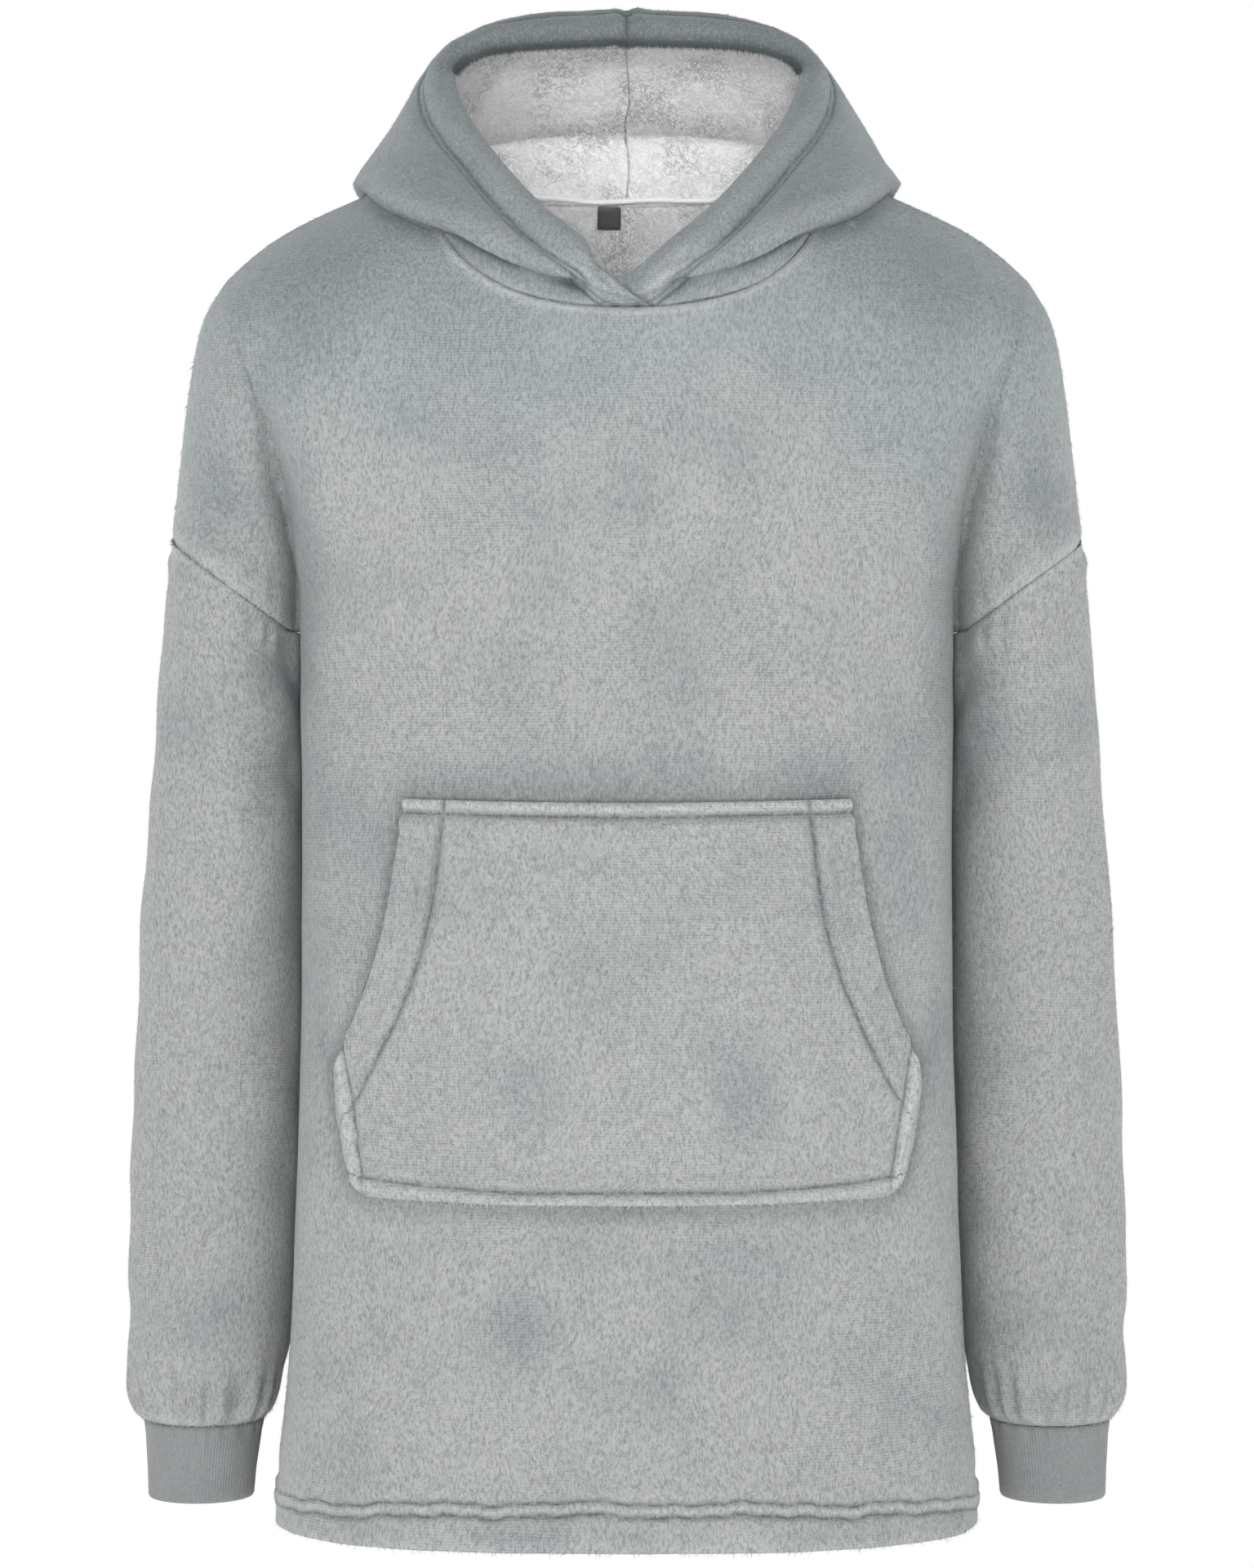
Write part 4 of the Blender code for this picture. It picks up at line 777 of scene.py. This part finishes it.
def makeSleeve(node, hand):
    piece = wallCopy(node, node + "_cloth", sleeve["levels"])
    points = readPoints(piece)
    x, y, z = points.T
    armX, armY = along(body["armAxis"], z, 1), along(body["armAxis"], z, 2)
    angle = np.degrees(np.arctan2(-(y - armY), (np.abs(x) - armX))) % 360
    shift = seamPuff(points)
    for row in sleeve["folds"]:
        turn = row["angle"] + (8 if hand < 0 else 0)
        apart = (angle - turn + 180) % 360 - 180
        place = z - row["z"] - (0.010 if hand < 0 else 0) + apart * 0.0002
        shift += row["depth"] * np.exp(-(place / row["tall"]) ** 2 - (apart / row["wide"]) ** 2)
    above = z - sleeve["bottomZ"]
    waves = np.sin(np.radians(angle) * sleeve["gathers"] + 1.5 * np.sin(np.radians(angle) * 5 + hand))
    shift += waves * sleeve["gatherDepth"] * np.exp(-((above - 0.014) / 0.018) ** 2)
    shift += noiseAt(points, 20.0, 5.0 + hand) * 0.0020
    shift *= smoothStep(0.0, 0.006, above)
    shift *= 0.25 + 0.75 * smoothStep(0.0, 0.012, np.abs(seamDistance(points)))
    beside = smoothStep(150, 172, 180 - np.abs((angle % 360) - 180)) * smoothStep(-0.80, -0.76, z)
    below = smoothStep(-0.3040, -0.3052, z)
    shift *= 1 - beside * below
    points += outwardField(points) * shift[:, None]
    gap = along(sleeve["nearest"], z, 1) - along(sleeve["bodySide"], z, 1)
    points[:, 0] -= np.sign(x) * np.maximum(gap, 0) * beside * below
    writePoints(piece, points)
    seam = seamDistance(points)
    # painted highlight on the seam's puff and along the bottom edge, and painted light on the inner side, where the
    # body shades it
    paleAndLit = 0.30 * np.exp(-((seam + 0.003) / 0.003) ** 2) + 0.35 * np.exp(-((above - 0.004) / 0.006) ** 2)
    paintToneAndShade(piece, points, paleAndLit=paleAndLit + 0.35 * beside)
    paint(piece, sleevePlush, innerPile)
    scatter(piece, node, "nap", bodyNap, 50000, 20 + hand, clearOf(seam))
    scatter(piece, node, "edge_fuzz", bodyNap, 3500, 24 + hand, within(above - 0.001, 0.004) + within(seam, 0.003), 0.8, (0.8, 0.2))
    return piece


cuff = {
    "ribs": 112,
    "rib": 0.0006,
    "wall": 0.0018,
    "perRib": 4,
    "rows": 16,
    "rings": [
        # z, x nearest the body, x farthest, half depth
        (-0.8195, 0.2390, 0.3165, 0.0381),
        (-0.8330, 0.2408, 0.3158, 0.0368),
        (-0.8520, 0.2437, 0.3147, 0.0354),
        (-0.8680, 0.2451, 0.3143, 0.0348),
        (-0.8697, 0.2460, 0.3134, 0.0339),
    ],
    "y": 0.030,
    "pull": 0.0022,  # gathers where the wide sleeve is sewn to the narrow cuff
}


def makeCuff(node, hand):
    # finer than its solid: every rib of the real cuff, gathered at the top
    count = cuff["ribs"] * cuff["perRib"]
    angles = np.linspace(0, 2 * math.pi, count, endpoint=False)
    z0, z1 = cuff["rings"][0][0], cuff["rings"][-1][0]
    faces, points = [], []
    heights = np.linspace(z0, z1 + 0.0017, cuff["rows"] - 1).tolist() + [z1]
    for face in ("outside", "inside"):
        for z in heights:
            near, far, deep = (along(cuff["rings"], z, column) for column in (1, 2, 3))
            top = math.exp(-((z - z0) / 0.007) ** 2)
            slant = 0.9 * top * math.sin(2.0)
            ribs = np.cos(angles * cuff["ribs"] + slant * 3)
            gather = np.sin(angles * 23 + 2 * np.sin(angles * 4)) * cuff["pull"] * top * 0.4
            raised = cuff["rib"] * (ribs * 0.5 + 0.5) - cuff["rib"] + gather
            if face == "inside":
                raised = gather - cuff["wall"]
            half = (far - near) / 2
            normal = np.column_stack([-np.cos(angles) / half, -np.sin(angles) / deep])
            normal /= np.linalg.norm(normal, axis=1)[:, None]
            ring = np.column_stack([near + half * (1 - np.cos(angles)), cuff["y"] - deep * np.sin(angles)])
            ring += normal * raised[:, None]
            points += [(hand * x, y, z) for x, y in ring]
    rows = len(heights)
    for row in list(range(rows - 1)) + list(range(rows, 2 * rows - 1)):
        for index in range(count):
            after = (index + 1) % count
            face = [row * count + index, (row + 1) * count + index, (row + 1) * count + after, row * count + after]
            faces.append(face if (row < rows) == (hand > 0) else face[::-1])
    for top in (0, rows - 1):
        for index in range(count):
            after = (index + 1) % count
            face = [top * count + index, top * count + after, (rows + top) * count + after, (rows + top) * count + index]
            faces.append(face if (top == 0) == (hand > 0) else face[::-1])
    mesh = bpy.data.meshes.new(node + "_ribbed")
    mesh.from_pydata(points, [], faces)
    piece = bpy.data.objects.new(node + "_ribbed", mesh)
    bpy.context.collection.objects.link(piece)
    mesh.shade_smooth()
    paint(piece, ribKnit)
    return piece


hood = {
    "levels": 2,
    "bandLines": (0.0235, 0.0272),
    "bandPuff": 0.0022,
    "cuts": (0.0022, 0.0048, 0.0085, 0.0135),
    "faceOpening": [
        (0.0000, -0.1180, -0.0840), (0.0360, -0.1040, -0.0580), (0.0640, -0.0770, -0.0270), (0.0875, -0.0430, 0.0040),
        (0.0990, -0.0240, 0.0220), (0.1095, -0.0020, 0.0460), (0.1110, 0.0220, 0.0680), (0.0900, 0.0300, 0.0800),
        (0.0500, 0.0370, 0.0850), (0.0000, 0.0400, 0.0866),
    ],
    "lipUnder": [
        (0.0300, -0.1190, -0.0960), (0.0568, -0.1190, -0.0880), (0.0780, -0.1110, -0.0770), (0.1050, -0.1015, -0.0635),
        (0.1420, -0.0790, -0.0480), (0.1600, -0.0480, -0.0350), (0.1705, -0.0010, -0.0180), (0.1620, 0.0720, -0.0330),
    ],
    "flap": {"top": (-0.0070, -0.0850), "bottom": (0.0138, -0.1080), "from": -0.030, "end": 0.0120},
    "folds": [
        {"line": [(0.165, -0.020, -0.004), (0.120, -0.068, -0.022), (0.075, -0.102, -0.062)], "width": 0.009,
         "depth": 0.0034},
        {"line": [(0.150, -0.010, 0.030), (0.112, -0.052, -0.004), (0.070, -0.092, -0.045)], "width": 0.008,
         "depth": -0.0034},
        {"line": [(0.150, 0.040, 0.045), (0.145, 0.000, 0.028), (0.125, -0.030, 0.010)], "width": 0.010,
         "depth": 0.0026},
        {"line": [(0.160, 0.010, 0.010), (0.140, -0.040, -0.006), (0.100, -0.080, -0.035)], "width": 0.006,
         "depth": -0.0020},
        {"line": [(0.080, 0.120, 0.070), (0.120, 0.110, 0.020), (0.140, 0.110, -0.030)], "width": 0.014,
         "depth": -0.0040},
        {"line": [(0.040, 0.150, 0.080), (0.060, 0.180, 0.010), (0.060, 0.180, -0.060)], "width": 0.016,
         "depth": 0.0035},
    ],
}


def joinHalves(points, hand):
    # the two halves meet in the middle of the back
    middle = (np.abs(points[:, 0]) < 0.0006) & (points[:, 1] > -0.05)
    points[middle, 0] = -0.0001 * hand


def slantFlap(points):
    # the upper end of the wearer's right half crosses the other one and ends slanting
    flap = hood["flap"]
    share = (flap["top"][1] - points[:, 2]) / (flap["top"][1] - flap["bottom"][1])
    edge = mix(flap["top"][0], flap["bottom"][0], np.clip(share, -0.4, 1.1))
    weight = smoothStep(flap["from"], flap["end"], points[:, 0]) * smoothStep(-0.06, -0.09, points[:, 1])
    points[:, 0] += (edge - flap["end"]) * weight


def deepenNeck(points):
    # the face opening comes to a deeper point where the two halves cross
    middle = smoothStep(0.036, 0.002, np.abs(points[:, 0])) * smoothStep(-0.06, -0.09, points[:, 1])
    points[:, 2] -= 0.0090 * middle * smoothStep(-0.112, -0.084, points[:, 2])


def makeHood(node, hand):
    piece = wallCopy(node, node + "_cloth", hood["levels"], [(0, hand * place) for place in hood["cuts"]])
    points = readPoints(piece)
    normals = readNormals(piece)
    flat = points * (hand, 1, 1)
    distance, _ = distanceToLine(flat, curveThrough(hood["faceOpening"]))
    under, _ = distanceToLine(flat, curveThrough(hood["lipUnder"]))
    inward = flat - np.array((0.0, 0.03, 0.0))
    outside = np.sign(np.einsum("ij,ij->i", normals * (hand, 1, 1), inward))
    low, high = hood["bandLines"]
    shift = noiseAt(flat, 22.0, 9.0 + hand) * 0.0018
    for row in hood["folds"]:
        away, share = distanceToLine(flat, curveThrough(row["line"]))
        shift += row["depth"] * np.exp(-(away / row["width"]) ** 2) * np.sin(np.pi * np.clip(share, 0.05, 0.95))
    shift *= smoothStep(0.024, 0.036, distance)
    uneven = 0.7 + 0.5 * noiseAt(flat, 75.0, 2.0 + hand)
    shift += np.sin(np.pi * np.clip(distance / low, 0, 1)) ** 0.8 * hood["bandPuff"] * uneven
    shift += groove(distance - (low + high) / 2, 0.0034, 0.0020)
    shift += np.exp(-((distance - high - 0.007) / 0.005) ** 2) * 0.0014 * uneven
    atBack = smoothStep(-0.03, 0.01, flat[:, 1])
    apart = np.abs(flat[:, 0])
    shift += atBack * (groove(apart, 0.0030, 0.0014) + 0.0007 * np.exp(-((apart - 0.008) / 0.004) ** 2))
    shift *= smoothStep(0.0, 0.010, apart) * (1 - atBack) + atBack
    points += (np.sign(outside)[:, None] * normals) * shift[:, None]
    if hand < 0:
        slantFlap(points)
    deepenNeck(points)
    joinHalves(points, hand)
    writePoints(piece, points)
    lines = [distance - place for place in hood["bandLines"]]
    middle = apart + (flat[:, 1] < 0.0) * 0.05
    for name, values in zip(("bandLineA", "bandLineB", "middleLine"), lines + [middle]):
        store(piece, name, values)
    # painted shadow under the lip, weaker near the middle, and painted shade over the top band, darkest along its rim
    paintedShade = 0.97 * np.exp(-(under / 0.0034) ** 2)
    top = smoothStep(0.056, 0.066, flat[:, 2])
    paintedShade *= 0.20 + 0.80 * smoothStep(0.008, 0.034, apart)
    paintedShade = np.maximum(paintedShade, (0.22 + 0.50 * np.exp(-(distance / 0.0055) ** 2)) * top)
    # painted highlight on the band's lower puff and on the strip between the lip and the neck seam
    paleAndLit = 0.22 * np.exp(-((distance - 0.013) / 0.008) ** 2) * smoothStep(0.05, -0.02, points[:, 2])
    paleAndLit += 0.30 * smoothStep(0.006, 0.012, under) * smoothStep(0.024, 0.014, under) * smoothStep(0.0, -0.04, points[:, 2])
    # the whole hood takes the cool grey, and with it painted shade
    paintToneAndShade(piece, points, 0.92, paleAndLit, paintedShade)
    paint(piece, hoodPlush)
    scatter(piece, node, "nap", hoodNap, 45000, 30 + hand, clearOf(lines[0], lines[1], middle) * (under > 0.0035))
    # dark fibres along the top rim: painted shade, the shadow line under the top band
    rim = within(distance, 0.0032) * (flat[:, 1] > -0.01) * (flat[:, 2] > 0.062)
    scatter(piece, node, "shade_fringe", hoodNap, 6000, 34 + hand, rim, 1.3, (0.06, 0.08))
    return piece


pile = {"levels": 3, "clump": 0.0066, "height": 0.0024, "curl": 0.0023, "neckZ": -0.0150, "neckHalf": 0.128}


def neckHeight(x):
    # the back neck seam
    return pile["neckZ"] * (1 - np.minimum(np.abs(x) / pile["neckHalf"], 1) ** 2.6) ** (1 / 2.6)


def makePile(node, hand, middle):
    # curly white pile, raised in clumps on the side that looks into the garment
    piece = wallCopy(node, node + "_pile", pile["levels"])
    points = readPoints(piece)
    normals = readNormals(piece)
    towards = np.array(middle) - points
    facing = np.einsum("ij,ij->i", normals, towards) / np.linalg.norm(towards, axis=1)
    raised = np.empty(len(points))
    for index, point in enumerate(points):
        place = Vector(point)
        place += noise.noise_vector(place * 120) * 0.0022
        near = noise.voronoi(place / pile["clump"])[0]
        raised[index] = pile["height"] * (1 - min((near[0] / max(near[1], 1e-6)) ** 2, 1.0)) ** 0.5
        raised[index] += noise.noise(place / pile["curl"]) * 0.0006
    seam = points[:, 2] - neckHeight(points[:, 0]) + (points[:, 1] < 0.02) * 0.2
    distance, _ = distanceToLine(points * (hand, 1, 1), curveThrough(hood["faceOpening"])) if hand else (seam + 1, 0)
    raised *= smoothStep(0.002, 0.010, distance)
    if hand:
        raised = np.maximum(raised, 0.0022 * smoothStep(0.005, 0.0, np.abs(points[:, 0])))
    else:
        low, high = np.array(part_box("size_label"))
        off = np.max(np.maximum(low - points, points - high)[:, (0, 2)], axis=1)
        raised *= 0.25 + 0.75 * smoothStep(0.0, 0.004, off)
    inside = smoothStep(0.0, 0.35, facing)
    points += normals * (raised * inside)[:, None]
    if hand:
        joinHalves(points, hand)
    if hand < 0:
        slantFlap(points)
        points[:, 1] += 0.002 * smoothStep(-0.09, -0.11, points[:, 1])
    if hand:
        deepenNeck(points)
    writePoints(piece, points)
    wandering = 0.0014 * np.sin(points[:, 2] * 95 + 1.0) + 0.0016 * noiseAt(points * (0, 0, 1), 60.0, 7.0)
    apart = points[:, 0] - wandering if hand else np.ones(len(points))
    store(piece, "middleLine", apart)
    store(piece, "neckLine", seam + 0.002)
    paint(piece, hoodPile)
    keep = clearOf(apart) * (inside > 0.6) * (distance > 0.006)
    scatter(piece, node, "curls", pileCurls, 18000 if hand else 6000, 40 + hand, keep, 0.7, (0.6, 0.25), curly=True)
    return piece


neckRoll = {"reach": 0.088, "radius": 0.0024, "rise": 0.0012, "steps": 90, "sides": 10}


def makeNeckRoll(linings):
    # the raised white seam at the back of the neck, laid on the lining
    trees = []
    for piece in linings:
        mesh = piece.data
        mesh.calc_loop_triangles()
        corners = [tuple(tri.vertices) for tri in mesh.loop_triangles]
        trees.append(BVHTree.FromPolygons([tuple(point) for point in readPoints(piece)], corners))
    centres = []
    for x in np.linspace(-neckRoll["reach"], neckRoll["reach"], neckRoll["steps"]):
        z = float(neckHeight(x)) + neckRoll["rise"] + 0.0008 * math.sin(x * 90)
        hits = [tree.ray_cast(Vector((x, 0.01, z)), Vector((x * 0.4, 1, 0)).normalized())[0] for tree in trees]
        hits = [hit for hit in hits if hit is not None]
        if hits:
            y = min(hit.y for hit in hits)
            centres.append((x, y, z))
    centres = np.array(centres)
    smooth = np.convolve(np.pad(centres[:, 1], 4, mode="edge"), np.ones(9) / 9, mode="valid")
    centres[:, 1] = smooth - 0.0004
    points, faces = [], []
    sides = neckRoll["sides"]
    for index, centre in enumerate(centres):
        ends = smoothStep(-0.5, 3.0, min(index, len(centres) - 1 - index))
        radius = neckRoll["radius"] * ends * (1 + 0.25 * noise.noise(Vector(centre) * 300))
        for turn in range(sides):
            angle = 2 * math.pi * turn / sides
            points.append(centre + np.array((0, math.cos(angle), math.sin(angle) * 0.85)) * radius)
    for row in range(len(centres) - 1):
        for turn in range(sides):
            after = (turn + 1) % sides
            faces.append([row * sides + turn, row * sides + after, (row + 1) * sides + after, (row + 1) * sides + turn])
    faces += [list(range(sides))[::-1], [(len(centres) - 1) * sides + turn for turn in range(sides)]]
    mesh = bpy.data.meshes.new("neck_seam_roll")
    mesh.from_pydata([tuple(point) for point in points], [], faces)
    mesh.shade_smooth()
    roll = bpy.data.objects.new("neck_seam_roll", mesh)
    bpy.context.collection.objects.link(roll)
    store(roll, "tint", np.full(len(points), 0.8))
    mesh.materials.append(pileCurls)
    coats.setdefault("back_lining", []).append(roll)


def makePocket(node):
    piece = wallCopy(node, "pocket_cloth", pocket["levels"])
    points = readPoints(piece)
    flat = np.column_stack([np.abs(points[:, 0]), points[:, 2]])
    names = ("openingLine", "sideLine", "bottomLine", "topLine")
    lines = [signedDistance(flat, pocket[name]) for name in names]
    for name, values in zip(names, lines):
        store(piece, name, values)
    nearest = np.min(np.abs(lines), axis=0)
    field = outwardField(points)
    facing = np.einsum("ij,ij->i", readNormals(piece), field)
    shift = noiseAt(points, 80.0, 2.0) * 0.0014 + noiseAt(points, 24.0, 4.0) * 0.0014
    shift += pocket["puff"] * np.exp(-((nearest - 0.006) / 0.004) ** 2) + groove(nearest, 0.0022, pocket["groove"])
    points += field * (shift * smoothStep(0.2, 0.6, facing))[:, None]
    writePoints(piece, points)
    rolls = np.min(np.abs(lines[1:]), axis=0)
    outside = (lines[1] * pocket["sideSign"] > 0) | (lines[2] * pocket["bottomSign"] > 0) | (flat[:, 1] > -0.4225)
    # painted highlight on the rolled side and bottom edges, and the pocket a little paler all over
    paleAndLit = 0.62 * np.exp(-((rolls - 0.004) / 0.0040) ** 2) * outside + 0.10
    paintToneAndShade(piece, points, paleAndLit=paleAndLit)
    paint(piece, pocketPlush)
    scatter(piece, node, "nap", bodyNap, 38000, 50, clearOf(*lines) * (facing > 0))
    return piece


def makeTab(node):
    piece = wallCopy(node, "size_tab", 1)
    writePoints(piece, readPoints(piece) + np.array((0.0, -0.0028, 0.0)))
    paint(piece, tabWeave)
    return piece


print("materials")
bodyPlush = plushMaterial("grey plush", ("hemLineA", "hemLineB"))
sleevePlush = plushMaterial("grey sleeve plush")
# the hood's plush and fibres are darker copies: painted shade
hoodPlush = plushMaterial("grey hood plush", ("bandLineA", "bandLineB", "middleLine"), 0.12)
pocketPlush = plushMaterial("grey pocket plush", ("topLine", "bottomLine", "openingLine", "sideLine"))
bodyNap = napMaterial("grey fibres")
hoodNap = napMaterial("grey hood fibres", 0.12)
innerPile = pileMaterial("white pile inside")
hoodPile = pileMaterial("white hood pile", ("middleLine", "neckLine"))
pileCurls = curlMaterial("white curls")
ribKnit = knitMaterial("grey rib knit")
tabWeave = tabMaterial("dark woven tab")

print("body")
made, coats = {}, {}
made["front"] = makePanel("front", "front")
made["back"] = makePanel("back", "back")
for handName, hand in (("left", 1), ("right", -1)):
    print("sleeve, cuff and hood", handName)
    made["sleeve_" + handName] = makeSleeve("sleeve_" + handName, hand)
    made["cuff_" + handName] = makeCuff("cuff_" + handName, hand)
    made["hood_" + handName] = makeHood("hood_" + handName, hand)
    made["hood_lining_" + handName] = makePile("hood_lining_" + handName, hand, (0.0, 0.02, 0.02))
made["back_lining"] = makePile("back_lining", 0, (0.0, -0.05, -0.10))
makeNeckRoll([made["hood_lining_left"], made["hood_lining_right"], made["back_lining"]])
print("pocket and tab")
made["pocket"] = makePocket("pocket")
made["size_label"] = makeTab("size_label")

for node, piece in made.items():
    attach(piece, "root")
    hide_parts(node)
    for coat in coats.get(node, []):
        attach(coat, "root")

print("floor, light and camera")
studio = {"floorZ": -1.35, "floorSize": 3.8, "eye": (0.0, -2.5, -0.403), "lens": 88.4}

bpy.ops.object.select_all(action="DESELECT")
bpy.ops.mesh.primitive_plane_add(size=studio["floorSize"], location=(0, 0, studio["floorZ"]))
floor = bpy.context.object
floor.name = "floor"
floorMaterial, _, floorShader = startMaterial("pale floor", Roughness=1.0, Specular_IOR_Level=0.0)
floorShader.inputs["Base Color"].default_value = (0.95, 0.95, 0.95, 1)
floor.data.materials.append(floorMaterial)

world = bpy.data.worlds.new("studio")
world.use_nodes = True
sky = Shade(world.node_tree, None)
direction = sky.node("ShaderNodeSeparateXYZ", None, Vector=sky.out("ShaderNodeTexCoord", "Generated"))
backdrop = Shade(world.node_tree, direction.outputs[2]).span(0.28, 0.95, 1.0, 0.42)
world.node_tree.nodes["Background"].inputs["Color"].default_value = (1, 1, 1, 1)
world.node_tree.links.new(backdrop.socket, world.node_tree.nodes["Background"].inputs["Strength"])
bpy.context.scene.world = world

lamps = [
    # name, place, what it is aimed at, power, size, spread in degrees
    ("key", (-0.7, -3.3, -0.75), (0, 0, -0.4), 58, 1.8, 180),
    ("fill", (0.9, -3.1, -1.0), (0, 0, -0.4), 30, 1.8, 180),
    ("left", (-2.9, 0.9, 0.0), (0, 0, -0.4), 26, 1.6, 180),
    ("right", (2.9, 0.9, 0.0), (0, 0, -0.4), 26, 1.6, 180),
    ("behind", (0.4, 3.6, 0.3), (0, 0, -0.4), 46, 1.8, 180),
    ("hood", (0.0, -2.0, -0.06), (0, 0.06, -0.025), 0.100, 0.3, 14),
]
for name, place, aim, power, size, spread in lamps:
    lamp = bpy.data.lights.new(name, "AREA")
    lamp.energy, lamp.size, lamp.spread = power, size, math.radians(spread)
    light = bpy.data.objects.new(name, lamp)
    light.location = place
    light.rotation_euler = (Vector(aim) - Vector(place)).to_track_quat("-Z", "Y").to_euler()
    bpy.context.collection.objects.link(light)

bpy.context.scene.view_settings.view_transform = "Standard"
lens = bpy.data.cameras.new("camera")
lens.lens = studio["lens"]
camera = bpy.data.objects.new("camera", lens)
camera.location = studio["eye"]
camera.rotation_euler = (math.radians(90), 0, 0)
bpy.context.collection.objects.link(camera)
bpy.context.scene.camera = camera
